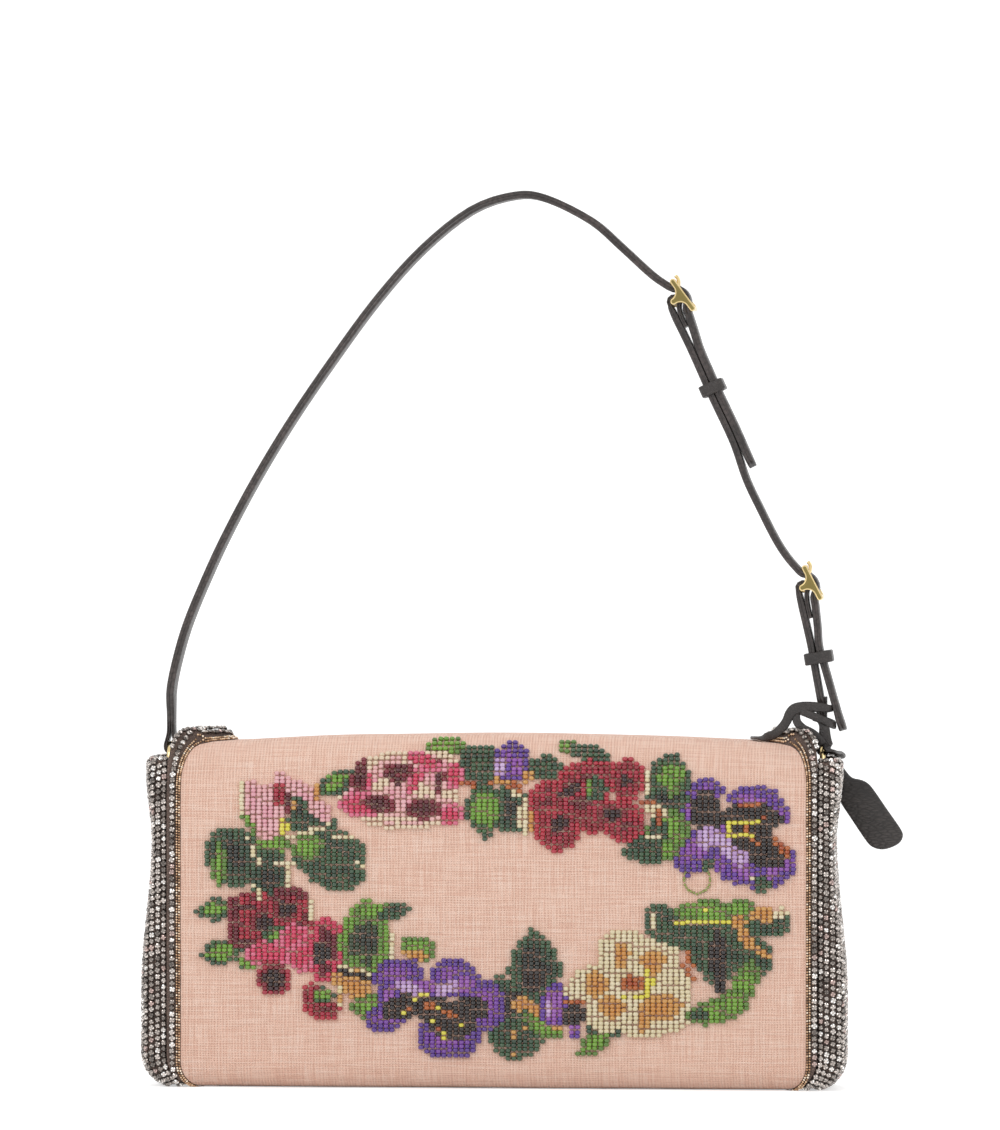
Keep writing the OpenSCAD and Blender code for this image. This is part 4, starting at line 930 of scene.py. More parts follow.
# Petals and leaves in the order in which they overlap: tints, outline, then the middle (X, Z), half length,
# half width and turn in degrees of each
OVAL, POINTED = 0, 1
FLOWERS = [
    # Leaves along the top and at the upper left
    (LEAF_FRESH, POINTED, [(-17.6, 129.3, 9, 4.2, 0), (-92.2, 103, 8, 2.6, -72), (-82.7, 92, 7.5, 5, 0)]),
    (LEAF_DARK, OVAL, [(-4.9, 122.6, 9, 7.2, 8), (20.5, 121.5, 7.5, 4.5, 0), (-67.4, 100, 10, 5.6, -12)]),
    (LEAF_NIGHT, OVAL, [(-98, 87.5, 12, 10.5, -70), (-84, 80, 10.5, 8, 80), (7, 106, 7.5, 9.5, 0)]),
    (LEAF_FRESH, OVAL, [(-103.2, 84, 9.5, 2.6, 88)]),
    (LEAF_DARK, OVAL, [(-61, 87.5, 14.5, 11, -14), (-56.5, 80.5, 9, 6, 10)]),
    (LEAF_FRESH, POINTED, [(-69.8, 91.3, 7.6, 5.2, 22)]),
    (CREAM, OVAL, [(-69, 97.2, 8.5, 1, 18), (-55.8, 95.3, 5, 0.9, 2), (-49.5, 84.5, 3.5, 0.9, -25),
                   (-79.5, 85.5, 6.2, 0.9, 0), (-77.2, 81.5, 5, 1.9, 90), (-90, 89.5, 5.5, 1, -65)]),
    # Pale bud
    (PALE_PINK, OVAL, [(-90, 109, 8.3, 3.8, 96), (-84.6, 104, 11, 5.4, 92), (-80, 114, 5.8, 3.6, 90),
                       (-71, 110, 10, 4.6, -38), (-64.5, 105, 5, 3, -40)]),
    (CREAM, OVAL, [(-94.2, 109, 7, 0.9, 92), (-66.5, 111.5, 1.4, 3.2, 0)]),
    (LEAF_NIGHT, OVAL, [(-73.5, 105.5, 3.4, 5.6, 0)]),
    (RED, OVAL, [(-80.6, 111.4, 2.9, 4.6, 0)]),
    (WINE, OVAL, [(-77.2, 108.5, 1.6, 4.6, 8)]),
    (AMBER, OVAL, [(-75.4, 107, 1.1, 3, 0)]),
    (YELLOW, OVAL, [(-78.8, 99.2, 2.3, 3.1, 0)]),
    # Dark red rose at the left
    (LEAF_LIT, POINTED, [(-105, 67.5, 7.6, 4.6, 8), (-102.4, 51, 9, 5, 4), (-93, 47, 5, 3, -30)]),
    (WINE, OVAL, [(-76.4, 68, 9, 8.6, 0), (-92, 67.5, 9, 6.6, 0), (-93.6, 58.5, 7, 6.4, 0)]),
    (RED, OVAL, [(-90, 71.5, 5.5, 2.8, 0), (-70.5, 66, 3, 6.4, 12), (-93.5, 62, 3, 6, 0)]),
    (RED_NIGHT, OVAL, [(-84.6, 63, 9, 7, 40), (-78, 67.5, 6.5, 5.5, 40)]),
    (LEAF_LIT, OVAL, [(-82, 57.8, 5.2, 3.8, 15)]),
    (HOT_PINK, OVAL, [(-74.4, 54.5, 7.2, 8, -10), (-84.5, 50.4, 9, 5.2, -6), (-72, 50, 6, 6, 0)]),
    (PINK_WINE, OVAL, [(-62, 54, 6.8, 10.6, 0), (-62.8, 44.6, 5.4, 4.6, 30)]),
    (NIGHT, OVAL, [(-64.2, 51, 2.8, 4.4, 0)]),
    (RED_NIGHT, OVAL, [(-82.5, 41.4, 6.4, 7.2, 20)]),
    (CREAM, OVAL, [(-67.6, 67, 1.1, 5.6, 0), (-88, 74, 1.4, 4, 28)]),
    # Fresh leaf and the small ones beside it
    (LEAF_RIM, OVAL, [(-47.6, 56.5, 14.6, 9.6, 82)]),
    (LEAF_FRESH, OVAL, [(-43.5, 67, 8.8, 3.2, 4)]),
    (LEAF_DARK, POINTED, [(-37, 66.5, 7.5, 3.4, 14)]),
    (CREAM, OVAL, [(-36.8, 55.5, 1.1, 7.4, -8)]),
    (LEAF_FRESH, OVAL, [(-27.5, 53.2, 7.6, 4.6, -12), (-47, 31.4, 6, 4.8, 0)]),
    (AMBER, OVAL, [(-28, 50.6, 5, 2.2, -10), (-52.5, 39.4, 8.2, 4.8, -14)]),
    (NIGHT, OVAL, [(-50.5, 42.8, 8, 1.1, -14)]),
    (CREAM_GOLD, OVAL, [(-52, 45, 7, 0.9, -14), (-57, 34, 1.2, 5, 10)]),
    (RED, OVAL, [(-67.3, 33.4, 4.2, 7.4, 10), (-62.6, 29.6, 5.8, 3.6, 0)]),
    (LEAF_LIT, OVAL, [(-63.6, 35, 4.2, 3.4, 0)]),
    # Leaf with the purple bud
    (LEAF_NIGHT, POINTED, [(16.8, 46, 15.5, 10.5, 92)]),
    (LEAF_DARK, OVAL, [(10.5, 22, 12, 10.5, 30), (3.4, 33.5, 8, 9.5, 0), (16, 38, 9, 6, 0)]),
    (NIGHT, OVAL, [(7.5, 32.5, 6.5, 4.6, 20), (16.5, 41.5, 4.5, 4, 0)]),
    (LEAF_FRESH, OVAL, [(20.6, 23.5, 8.6, 3.6, -28)]),
    (AMBER, OVAL, [(18.5, 28.8, 11, 2.4, -38), (12, 32, 4, 2.6, 20)]),
    (AMBER, OVAL, [(8.2, 20.2, 1.2, 1.6, 0), (12.4, 23.3, 1.2, 1.6, 0), (9.6, 13, 1.2, 1.6, 0)]),
    (VIOLET, OVAL, [(24.4, 31.8, 5.2, 8.4, -12), (31.6, 23.6, 2.4, 4.8, -10)]),
    (LILAC, OVAL, [(21.8, 31, 1.3, 3, 0)]),
    (NIGHT, OVAL, [(32, 28.2, 4.8, 3.6, 30)]),
    # Pansy at the left
    (PURPLE, OVAL, [(-35, 42.4, 9.6, 7.4, 10), (-13.5, 42, 9.4, 8, -8), (-39, 27.5, 8.6, 6, 30),
                    (-2.5, 31.5, 8.2, 10.5, 0), (-15.8, 20.6, 12.6, 9.2, 0), (-28, 36, 12, 6, 0)]),
    (VIOLET, OVAL, [(-38.6, 34.4, 4, 6.2, 0), (-23, 38.4, 13, 3.2, 0), (-10, 40, 5, 4.4, 0)]),
    (NIGHT, OVAL, [(-32.5, 30.8, 9.4, 4.6, 12), (-15, 25.6, 9.4, 7.2, 0), (-6.8, 30.6, 6.4, 4.6, -10),
                   (-24, 31, 10, 4, 0)]),
    (LILAC, OVAL, [(-31, 38.2, 5.8, 2.5, -18), (-16.4, 38, 5.4, 2.4, 20)]),
    (YELLOW, OVAL, [(-28.6, 33.2, 1.2, 1, 0), (-25.2, 35.4, 2.4, 1, 0), (-19.4, 31.2, 1.2, 1, 0),
                    (-21.8, 25.8, 1.2, 1, 0), (-11.2, 24.8, 1.2, 1, 0), (-17.2, 20, 1.2, 1, 0),
                    (-32.6, 28.4, 1.2, 1, 0)]),
    (RUST, OVAL, [(-23.6, 31.4, 3, 1, 0), (-15.4, 28.4, 3.4, 1, -12), (-30, 30, 1.2, 1, 0),
                  (-19.8, 22.8, 1.2, 1, 0)]),
    # Cream rose
    (LEAF_DARK, OVAL, [(45.2, 22.6, 6.4, 3.4, 10)]),
    (LEAF_FRESH, POINTED, [(39.6, 18.4, 8.6, 4.6, 38)]),
    (LEAF_DARK, OVAL, [(38.4, 24.6, 2.4, 4.4, 0)]),
    (RUST, OVAL, [(32.6, 34, 5, 2.2, 12), (72.6, 43, 4.6, 4.4, -40)]),
    (RUST, OVAL, [(75.6, 50.4, 1.4, 5.2, 6)]),
    (CREAM, OVAL, [(50.6, 52.6, 11, 8, 0), (63.4, 50.2, 8.4, 8.4, 0), (37, 40, 9.4, 6, 22),
                   (69.4, 40.6, 6.2, 7, 0), (44, 30, 8.6, 8.6, 0), (57.6, 26.6, 12, 7, 0),
                   (68.6, 31, 7.8, 8.6, 0), (54, 40, 15, 11, 0)]),
    (AMBER, OVAL, [(49.6, 51, 3.2, 5, 0), (60.6, 47.6, 5.8, 4.8, 30), (40, 40, 4.6, 5.2, 20),
                   (45.8, 31, 5.2, 4.2, -20), (64, 31, 8.8, 5, 10), (57.4, 26.6, 2.6, 4.4, 0)]),
    (YELLOW, OVAL, [(59.6, 41, 2.2, 5.4, 0), (54.6, 35.2, 4.8, 1.2, 0)]),
    (CREAM, OVAL, [(56, 46, 1.4, 6, 0), (54, 30, 1.2, 6, 12)]),
    (RUST, OVAL, [(53.6, 40.4, 5.2, 2.8, -8)]),
    # Curling leaf at the right
    (LEAF_DARK, OVAL, [(64.4, 63.4, 7, 6.6, 0), (78, 58.6, 15, 5.4, 0), (94, 54, 9.5, 9, 0),
                       (101.4, 51, 5.4, 7.6, 30), (106, 62.6, 8.4, 4.6, 12), (80.6, 50.4, 11, 4.6, -62),
                       (86.5, 50, 6, 12, 0)]),
    (LEAF_FRESH, OVAL, [(82.4, 67.4, 13.6, 4.4, 0), (94.4, 68.4, 6, 4, 0), (95.6, 39.6, 10.4, 4.8, 68),
                        (84, 29.4, 10.6, 4.8, 10), (92, 33, 6, 5.4, 40)]),
    (LEAF_DARK, OVAL, [(79, 28.6, 4, 2.2, 10)]),
    (YELLOW, OVAL, [(80, 63.2, 10.8, 1, 0), (81.6, 68.2, 2.4, 1.2, 30)]),
    (CREAM, OVAL, [(62, 64.6, 1.1, 3.4, 0)]),
    (AMBER, OVAL, [(93.6, 64, 3.4, 2.8, 0), (103.6, 66.4, 5.4, 2.8, 0), (96.6, 58, 2.4, 5.4, 24),
                   (102.6, 52.4, 4.8, 1.2, -30)]),
    (CREAM, OVAL, [(109.6, 66.6, 3.6, 2.4, 20)]),
    (NIGHT, OVAL, [(86.4, 48.8, 3.1, 12.6, 3)]),
    # Pansy at the right
    (PURPLE, OVAL, [(81, 112, 7.2, 5.8, 12), (101, 108.6, 11, 6.4, -12), (110.4, 103.6, 3.8, 3.8, 0),
                    (75.2, 106, 3.2, 6.4, 0), (77, 90, 9.4, 7, 58), (91.6, 84.6, 11, 6, -28),
                    (103.4, 82, 8.4, 6.8, 0), (110.6, 86.4, 5.4, 7, 0), (86, 99, 9, 7, 0)]),
    (VIOLET, OVAL, [(98, 109.6, 8.6, 3, -6), (79, 92, 4, 6.4, 0), (96, 82.8, 8, 3.2, -20),
                    (106, 84, 3.6, 5.4, 0)]),
    (NIGHT, OVAL, [(82, 104.4, 6, 8.4, 12), (98.6, 102.8, 12, 6, -2), (101.4, 91.6, 11.4, 6.6, -30)]),
    (LILAC, OVAL, [(82, 95.4, 4.6, 4.4, 0), (88.6, 92.6, 8.6, 3, -52), (94.6, 87.4, 3.4, 3.2, 0)]),
    (YELLOW, OVAL, [(96.6, 101.8, 6.6, 1, 0), (95.6, 96, 5.6, 1, -8), (90.8, 98.8, 1.2, 3.6, 0),
                    (97.6, 107.8, 1.4, 1, 0)]),
    (RUST, OVAL, [(95.2, 107.6, 1.6, 1, 0), (100.2, 107.4, 1.6, 1, 0), (104, 103.2, 1.6, 1, 0),
                  (101, 93.8, 2.4, 1, -30), (110.4, 91.6, 4.6, 1.8, -52), (97, 98.8, 2.4, 1, 0)]),
    (CREAM, OVAL, [(100.6, 80.4, 3, 0.9, 0)]),
    (LEAF_DARK, OVAL, [(102.8, 77.6, 3.4, 3.4, 0), (82, 84.6, 3, 2, 30)]),
    # Leaves beside the red rose
    (LEAF_LIT, OVAL, [(67.4, 118, 8, 9.4, 0)]),
    (LEAF_NIGHT, OVAL, [(67, 110, 8.2, 4.6, 0)]),
    (LEAF_FRESH, OVAL, [(69, 114, 2.2, 4.4, 0), (71, 119, 3, 4.2, 0), (67.5, 98.6, 8, 8.4, 0)]),
    (LEAF_DARK, OVAL, [(59.6, 90.6, 9.4, 5.4, 0), (63.6, 98, 4, 5.2, 0)]),
    (LEAF_FRESH, OVAL, [(67.4, 90.6, 3.6, 4.4, 0)]),
    (CREAM, OVAL, [(58.8, 116.6, 1.3, 5.4, 0), (62.4, 105.6, 4.6, 2.8, -30), (61.8, 96.2, 3.6, 1, 0)]),
    (RUST, OVAL, [(63.6, 102.6, 1.8, 3.2, 0), (58.4, 109, 3.4, 1, 0)]),
    # Red rose
    (LEAF_FRESH, OVAL, [(29, 129.3, 4.4, 2.2, 0)]),
    (LEAF_DARK, OVAL, [(37.6, 126.6, 8, 3.6, -12)]),
    (RED, OVAL, [(23, 109.4, 8.6, 8, 20), (37, 117, 13, 7.4, 6), (51.6, 117, 7, 8, 0),
                 (26, 98.4, 9, 8.6, 20), (39, 103, 11, 6.4, 0), (50.4, 101.4, 8.2, 8.4, 0),
                 (34, 109, 12, 9, 0)]),
    (RED_NIGHT, OVAL, [(30, 113, 8, 3.6, 26), (50.6, 116.6, 4.4, 3.4, 0), (26.6, 100.6, 6, 4.6, 30),
                       (46, 104, 8, 4, 0)]),
    (LEAF_DARK, OVAL, [(39.8, 113.4, 4.4, 5, 20)]),
    (LEAF_FRESH, OVAL, [(36.8, 114, 1.4, 3, 0)]),
    # Small violet flower, and the leaves under it
    (PURPLE, OVAL, [(7.6, 123.6, 6.6, 7.4, 0)]),
    (VIOLET, OVAL, [(9.6, 121.4, 3.2, 5, 0)]),
    (LILAC, OVAL, [(3.6, 121.4, 2.4, 3.4, 20)]),
    (RUST, OVAL, [(-5.6, 115.4, 7.4, 1.4, 4), (9.4, 114.2, 4, 2, -20)]),
    (AMBER, OVAL, [(14, 118, 2, 2.4, 0), (4, 116.2, 3, 1, -12)]),
    (LEAF_LIT, POINTED, [(-2.4, 105.6, 11.6, 8, 92)]),
    (CREAM, OVAL, [(12.6, 103, 2, 7.4, 0), (9, 111.6, 2.4, 1.6, -30)]),
    (AMBER, OVAL, [(15.4, 101.6, 1.2, 4, 0)]),
    # Pink rose
    (CREAM_PINK, OVAL, [(-38.4, 117.6, 14.6, 9.6, 14), (-22, 119.4, 11.6, 8.8, -16), (-52, 113, 6, 7, 0),
                        (-33, 103.4, 17.5, 5.4, 0), (-20.6, 106, 9, 6.4, 12), (-36, 109, 16, 8, 0)]),
    (WINE, OVAL, [(-49.6, 118.4, 3.4, 6.8, -8), (-35, 119.4, 6.4, 3.6, 6), (-34.6, 115.6, 2.6, 4.6, 0),
                  (-19.4, 117.6, 2, 6.6, 0)]),
    (HOT_PINK, OVAL, [(-45.4, 114.6, 1.4, 6, 0), (-25.4, 123.4, 6.6, 3, -22), (-14, 118.4, 3.4, 5.4, 0),
                      (-49.4, 107.2, 8, 4.8, -6), (-15, 103.6, 5, 3.8, 20), (-28.6, 117, 2.2, 6, -20)]),
    (WINE, OVAL, [(-42.4, 107.6, 6.4, 3.2, -10), (-25.4, 106, 6.8, 4.2, -4)]),
    (PALE_PINK, OVAL, [(-33.4, 110, 2.4, 6, 0)]),
    (LEAF_LIT, POINTED, [(-59.4, 115, 8.2, 4.8, 34)]),
    (AMBER, OVAL, [(-66, 111.4, 1.3, 3.4, 0)]),
]


def petal_tint(x, z):
    """Tint of the topmost petal at a place on the back, or none."""
    for tints, pointed, petals in reversed(FLOWERS):
        for px, pz, length, width, turn in reversed(petals):
            c, s = math.cos(math.radians(turn)), math.sin(math.radians(turn))
            u, v = ((x - px) * c + (z - pz) * s) / length, ((z - pz) * c - (x - px) * s) / width
            edge = 1 + 0.07 * noise.noise(Vector((x / 5, z / 5, px)))
            depth = edge - (abs(u) ** 1.5 + abs(v) ** 1.1 if pointed else math.hypot(u, v))
            if depth > 0:
                streak = noise.noise(Vector((u * 1.4, v * 3.2, px))) * 0.5
                streak += noise.noise(Vector((x, z, pz))) * 0.25
                return tints[int(clamp(depth * 1.1 + streak * 0.6) * (len(tints) - 0.01))]
    return None


def beaded_flowers():
    """Seed beads in upright columns, set only where a petal or leaf is. Those past the hinge are on the
    flap."""
    column, row, parts = 2.2, 1.63, {"left": [], "middle": [], "right": [], "flap": []}
    play = random.Random(4)
    for i in range(-54, 55):
        for j in range(5, 82):
            x, z = i * column + play.uniform(-0.12, 0.12), j * row + play.uniform(-0.08, 0.08) + 0.04 * i
            tint = petal_tint(x, z)
            if tint and abs(x) < linen_half(z) - 1.5:
                s = COVER.at_height(z)
                word = "flap" if s > HINGE_S else "left" if x < -40 else "middle" if x < 38 else "right"
                along = Vector((play.uniform(-0.1, 0.1), 0, 1))
                parts[word].append((COVER.on(x, s, 0.55), COVER.up(s), along, linear(tint)))
    for word, spots in parts.items():
        beads = studded(f"beaded_flowers_{word}", spots, SEED_BEAD, (2.12, 1.55, 1.75), BEAD,
                        0.05, 0.09, 0.09, 2)
        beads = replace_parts(beads, "beadwork") if word == "left" else beads
        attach(beads, "flap" if word == "flap" else "body")


beaded_flowers()
# The open curl of small green beads under the right pansy
curl = [COVER.on(x, COVER.at_height(z), 0.35)
        for x, z in ellipse((78.2, 79.4), (4.9, 5.2), 60, 480, 30)[:-1]]
ring_beads = [(curl[k], COVER.up(COVER.at_height(79)), curl[(k + 1) % 30] - curl[k], linear("#8E9A4E"))
              for k in range(30)]
curl_beads = studded("beaded_curl", ring_beads, SEED_BEAD, (0.95, 1.0, 0.9), BEAD, 0.06, 0.1, 0.1, 6)
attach(curl_beads, "body")


# Strap

STRAP_HALF = 1.42


def strap_points(shares):
    """Places on the strap's arch, from shares of its half span and of its rise above the rings."""
    return [Vector((across * RING_X, RING_Z + up * STRAP_RISE)) for across, up in shares]


LONG_GUIDES = strap_points([
    (-1, .0371), (-1, .078), (-1, .124), (-.984, .173), (-.953, .236), (-.905, .305), (-.835, .393),
    (-.737, .499), (-.626, .604), (-.5, .71), (-.364, .816), (-.225, .905), (-.076, .973), (.056, .999),
    (.154, .994), (.293, .954), (.385, .908), (.4775, .859)])
MIDDLE_GUIDES = strap_points([
    (.597, .728), (.662, .644), (.726, .565), (.766, .499), (.811, .444), (.856, .393), (.892, .361)])
SHORT_GUIDES = strap_points([(.961, .213), (.976, .165), (.997, .095), (1, .064), (1, .0371)])
BUCKLE_AT = strap_points([(.574, .823), (.969, .317)])
BUCKLE_TILT = [math.radians(tilt) for tilt in (-53.6023, -62.8205)]


def in_buckle(b, p):
    """A place known along and out from a buckle, in X and Z."""
    along = Vector((math.cos(BUCKLE_TILT[b]), math.sin(BUCKLE_TILT[b])))
    return BUCKLE_AT[b] + along * p[0] + left_of(along) * p[1]


def woven(b):
    """The strap's way under a buckle's first bar, over the prong's bar and under the last one."""
    way = (ellipse((-6.3, 0), (2.5, 2.5), -76, -35.4, 5)
           + ellipse((0, -4.48), (5.23, 5.23), 144.6, 35.4, 10)[1:-1]
           + ellipse((6.3, 0), (2.5, 2.5), 215.4, 257.2, 5))
    return [in_buckle(b, p) for p in way]


def run_down(b, guides):
    """A strap's way down from its fold at a buckle."""
    return through([in_buckle(b, (0, -6.3)), in_buckle(b, (3.654, -7.17))] + guides, 4)


def fold_back(b, run):
    """The pared end that goes round a buckle's prong bar and lies against the strap."""
    sides = [(0, 1), (1, 0.85), (2, 0.6), (3, 0.36), (4, 0.17), (5, 0)]
    end = [run[i] + left_of(heading(run, i)) * mix(2.125, 4.2, lookup(i, sides)) for i in range(6, 0, -1)]
    return end + [in_buckle(b, p) for p in ellipse((0, -4.2), (2.1, 2.1), 90, 270, 10)[:-1]] + run


def free_end(run, end, starts, lift, bend):
    """The end of a strap that lies outside the next strap and leans away from it."""
    sides = [(5, 1.37), (6, 1), (7, 0.6), (8, 0.13), (9, 0)]
    return [run[i] + left_of(heading(run, i))
            * (2.9 + FOLD_T * lookup(i, sides) + lift * max(0, (i - starts) / (end - starts)) ** bend)
            for i in range(5, end + 1)]


LONG_RUN = through(LONG_GUIDES + [woven(0)[0]], 4)
MIDDLE_RUN = run_down(0, MIDDLE_GUIDES + [woven(1)[0]])
SHORT_RUN = run_down(1, SHORT_GUIDES)


def edge_section(half_t, half_w):
    """Points round a strap's section, across and out: rounded painted edges with the line between its
    two plies."""
    soft = min(0.55, half_t * 0.5)
    right = [(half_w - soft, half_t), (half_w - 0.3 * soft, half_t - 0.3 * soft), (half_w, half_t - soft),
             (half_w - 0.06, 0.14), (half_w - 0.24, 0), (half_w - 0.06, -0.14), (half_w, soft - half_t),
             (half_w - 0.3 * soft, 0.3 * soft - half_t), (half_w - soft, -half_t)]
    return right + [(-y, out) for y, out in reversed(right)]


def hole_cutter(x, z, angle, radius, length):
    """An upright pin for a round hole, or a longer one for a slot when it has a length."""
    mesh = bpy.data.meshes.new("cutter")
    work = bmesh.new()
    bmesh.ops.create_cone(work, cap_ends=True, segments=28, radius1=radius * MM, radius2=radius * MM,
                          depth=8 * MM)
    for v in work.verts:
        if length:
            v.co.x += math.copysign(length / 2 - radius, v.co.x) * MM
    work.to_mesh(mesh)
    work.free()
    cutter = bpy.data.objects.new("cutter", mesh)
    cutter.matrix_world = Matrix.Translation((x * MM, 0, z * MM)) @ Matrix.Rotation(-angle, 4, "Y")
    bpy.context.scene.collection.objects.link(cutter)
    return cutter


def strip_of_leather(name, guides, holes=(), pitch=1.3):
    """A leather strip swept along guides of (X, Z, half thickness, half width), with holes cut through it.
    A hole is its X, Z, angle, radius and length."""
    line = even(through(guides, 3), pitch)
    points = []
    for i, (x, z, half_t, half_w) in enumerate(line):
        out = left_of(heading([Vector(p[:2]) for p in line[max(i - 1, 0):i + 2]], min(i, 1)))
        section = edge_section(half_t, half_w)
        points += [(x + out[0] * h, y, z + out[1] * h) for y, h in section]
    size = len(section)
    faces = weave(len(line), size, True) + strip_ends(len(line), size)
    obj = piece(name, points, faces, CALF, outward=True)
    cutters = [hole_cutter(*hole) for hole in holes]
    bpy.context.view_layer.update()
    carve(obj, cutters)
    obj.data.materials.clear()
    for material in (CALF, EDGE_PAINT):
        obj.data.materials.append(material)
    for face in obj.data.polygons:
        face.material_index = 1 if abs(face.normal.y) > 0.5 else 0
        face.use_smooth = True
    obj.data.set_sharp_from_angle(angle=math.radians(50))
    return obj


def hole_at(path, i):
    """Place and direction of a round hole on a strap's path."""
    way = heading(path, i)
    return path[i][0], path[i][1], math.atan2(way[1], way[0]), 1.5, 0


def prong_slot(b):
    """The slot that a buckle's prong comes through."""
    x, z = in_buckle(b, (-3.1, -0.15))
    return x, z, BUCKLE_TILT[b] + math.radians(36.3), 1.35, 6.6


def width_above_ring(p):
    return mix(STRAP_END_W / 2, STRAP_W / 2, ease((p[1] - RING_Z - 14) / 14))


def tip_width(path, i):
    """Half width near a rounded tip, from the distance left to the end."""
    left, radius = sum((b - a).length for a, b in zip(path[i:], path[i + 1:])), STRAP_W / 2
    return radius if left > radius else max(0.5, math.sqrt(max(0, radius ** 2 - (radius - left) ** 2)))


def long_strap():
    path = LONG_RUN + woven(0)[1:] + free_end(MIDDLE_RUN, 19, 16, 1.1, 1.5)
    body = [Vector((-RING_X, RING_Z + 15))] + [p for p in path if p[1] > RING_Z + 16 or p[0] > 0]
    fine = even(body, 1.6)
    widest = [width_above_ring(p) if p[0] < 0 else STRAP_W / 2 for p in fine]
    guides = [Vector((p[0], p[1], STRAP_HALF, min(widest[i], tip_width(fine, i))))
              for i, p in enumerate(fine)]
    n = len(path)
    holes = [hole_at(path, i) for i in (len(LONG_RUN) - 9, len(LONG_RUN) - 5, n - 4, n - 7, n - 10)]
    return strip_of_leather("strap_long", guides, holes + [prong_slot(0)])


def pared(i, count):
    """Half thickness of a strap that is pared thin over its first points."""
    return FOLD_T / 2 if i <= count else mix(FOLD_T, STRAP_T, clamp((i - count) / 5)) / 2


def middle_strap():
    path = fold_back(0, MIDDLE_RUN) + woven(1)[1:] + free_end(SHORT_RUN, 21, 9.5, 4.7, 1.15)
    guides = [Vector((p[0], p[1], pared(i, 16), tip_width(path, i))) for i, p in enumerate(path)]
    tip = len(guides) - 4
    fine = even(guides[tip:], 0.8)
    guides = guides[:tip] + [Vector((p[0], p[1], STRAP_HALF, tip_width(fine, i)))
                             for i, p in enumerate(fine)]
    return strip_of_leather("strap_middle", guides, [hole_at(path, len(path) - 6), prong_slot(1)])


def short_strap():
    path = fold_back(1, SHORT_RUN)
    path = [p for p in path if p[1] > RING_Z + 16] + [Vector((RING_X, RING_Z + 15))]
    guides = [Vector((p[0], p[1], pared(i, 16), width_above_ring(p))) for i, p in enumerate(path)]
    return strip_of_leather("strap_short", guides)


def ring_fold(word, side):
    """The strap's end, pared thin and folded up round its ring."""
    half = [(0.7, 25), (0.72, 19), (0.74, 13), (0.9, 10.5), (1.5, 8), (2.0, 6.2)]
    turn = [tuple(p) for p in ellipse((0, 5.2), (2.0, 2.0), -10, -170, 8)]
    path = [Vector((side * RING_X + side * x, RING_Z + z))
            for x, z in half + turn + [(-x, z) for x, z in reversed(half)]]
    guides = [Vector((p[0], p[1], 0.7, mix(3.5, 5.2, ease((p[1] - RING_Z - 14) / 14)))) for p in path]
    return strip_of_leather(f"ring_fold_{word}", guides, pitch=0.9)


for obj, nodes in ((long_strap(), ("strap_long",)), (middle_strap(), ("strap_middle",)),
                   (short_strap(), ("strap_short",)), (ring_fold("left", -1), ()),
                   (ring_fold("right", 1), ())):
    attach(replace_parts(obj, *nodes), "strap")


# Buckles, keepers, rings and fittings

# Distance of a buckle's two etched faces from its middle
ETCHED_Y = 7.505
for word in ("upper", "lower"):
    frame_piece = dressed(f"gold_buckle_{word}", [f"buckle_{word}"], GOLD, 0.22)
    frame_piece.data.materials.append(OLIVE)
    for face in frame_piece.data.polygons:
        if abs(face.normal.y) > 0.95 and abs(abs(face.center.y) - ETCHED_Y * MM) < 0.06 * MM:
            face.material_index = 1
    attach(frame_piece, "strap")
    prong = dressed(f"gold_prong_{word}", [f"prong_{word}"], GOLD, 0.3)
    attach(prong, f"prong_{word}")
    keeper = dressed(f"leather_keeper_{word}", [f"keeper_{word}"], CALF, 0.45)
    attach(keeper, f"keeper_{word}")

for name, nodes, material, bevel, slot, body in (
        ("gold_ring_left", ["ring_left"], GOLD, 0, "gold", "strap"),
        ("gold_ring_right", ["ring_right"], GOLD, 0, "gold", "strap"),
        ("leather_ring_tab_left", ["ring_tab_left"], CALF, 0.3, "leather", "body"),
        ("leather_ring_tab_right", ["ring_tab_right"], CALF, 0.3, "leather", "body"),
        ("snap_socket_plate", ["snap_socket"], GOLD, 0.25, "gold", "body"),
        ("snap_stud_plate", ["snap_stud"], GOLD, 0.25, "gold", "flap"),
        ("snap_back_washer", ["snap_washer"], STEEL, 0.1, "steel", "body"),
        ("zip_chain", ["zip_teeth"], GOLD, 0.12, "gold", "body"),
        ("zip_slider_body", ["zip_slider"], GOLD, 0.15, "gold", "zip_slider"),
        ("zip_pull_tab", ["zip_pull"], GOLD, 0.18, "gold", "zip_pull"),
        ("bottom_board", ["base_board"], BOARD, 0.4, "board", "body")):
    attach(dressed(name, nodes, material, bevel), body)


# Tag and thong

# Where the tag hangs, and how steeply it hangs down
TAG_O, TAG_DIP = Vector((123.9, 127.88)), math.radians(56)


def on_tag(p):
    """A place known along and across the tag, in X and Z."""
    along = Vector((math.cos(TAG_DIP), -math.sin(TAG_DIP)))
    return TAG_O + along * p[0] + left_of(along) * p[1]


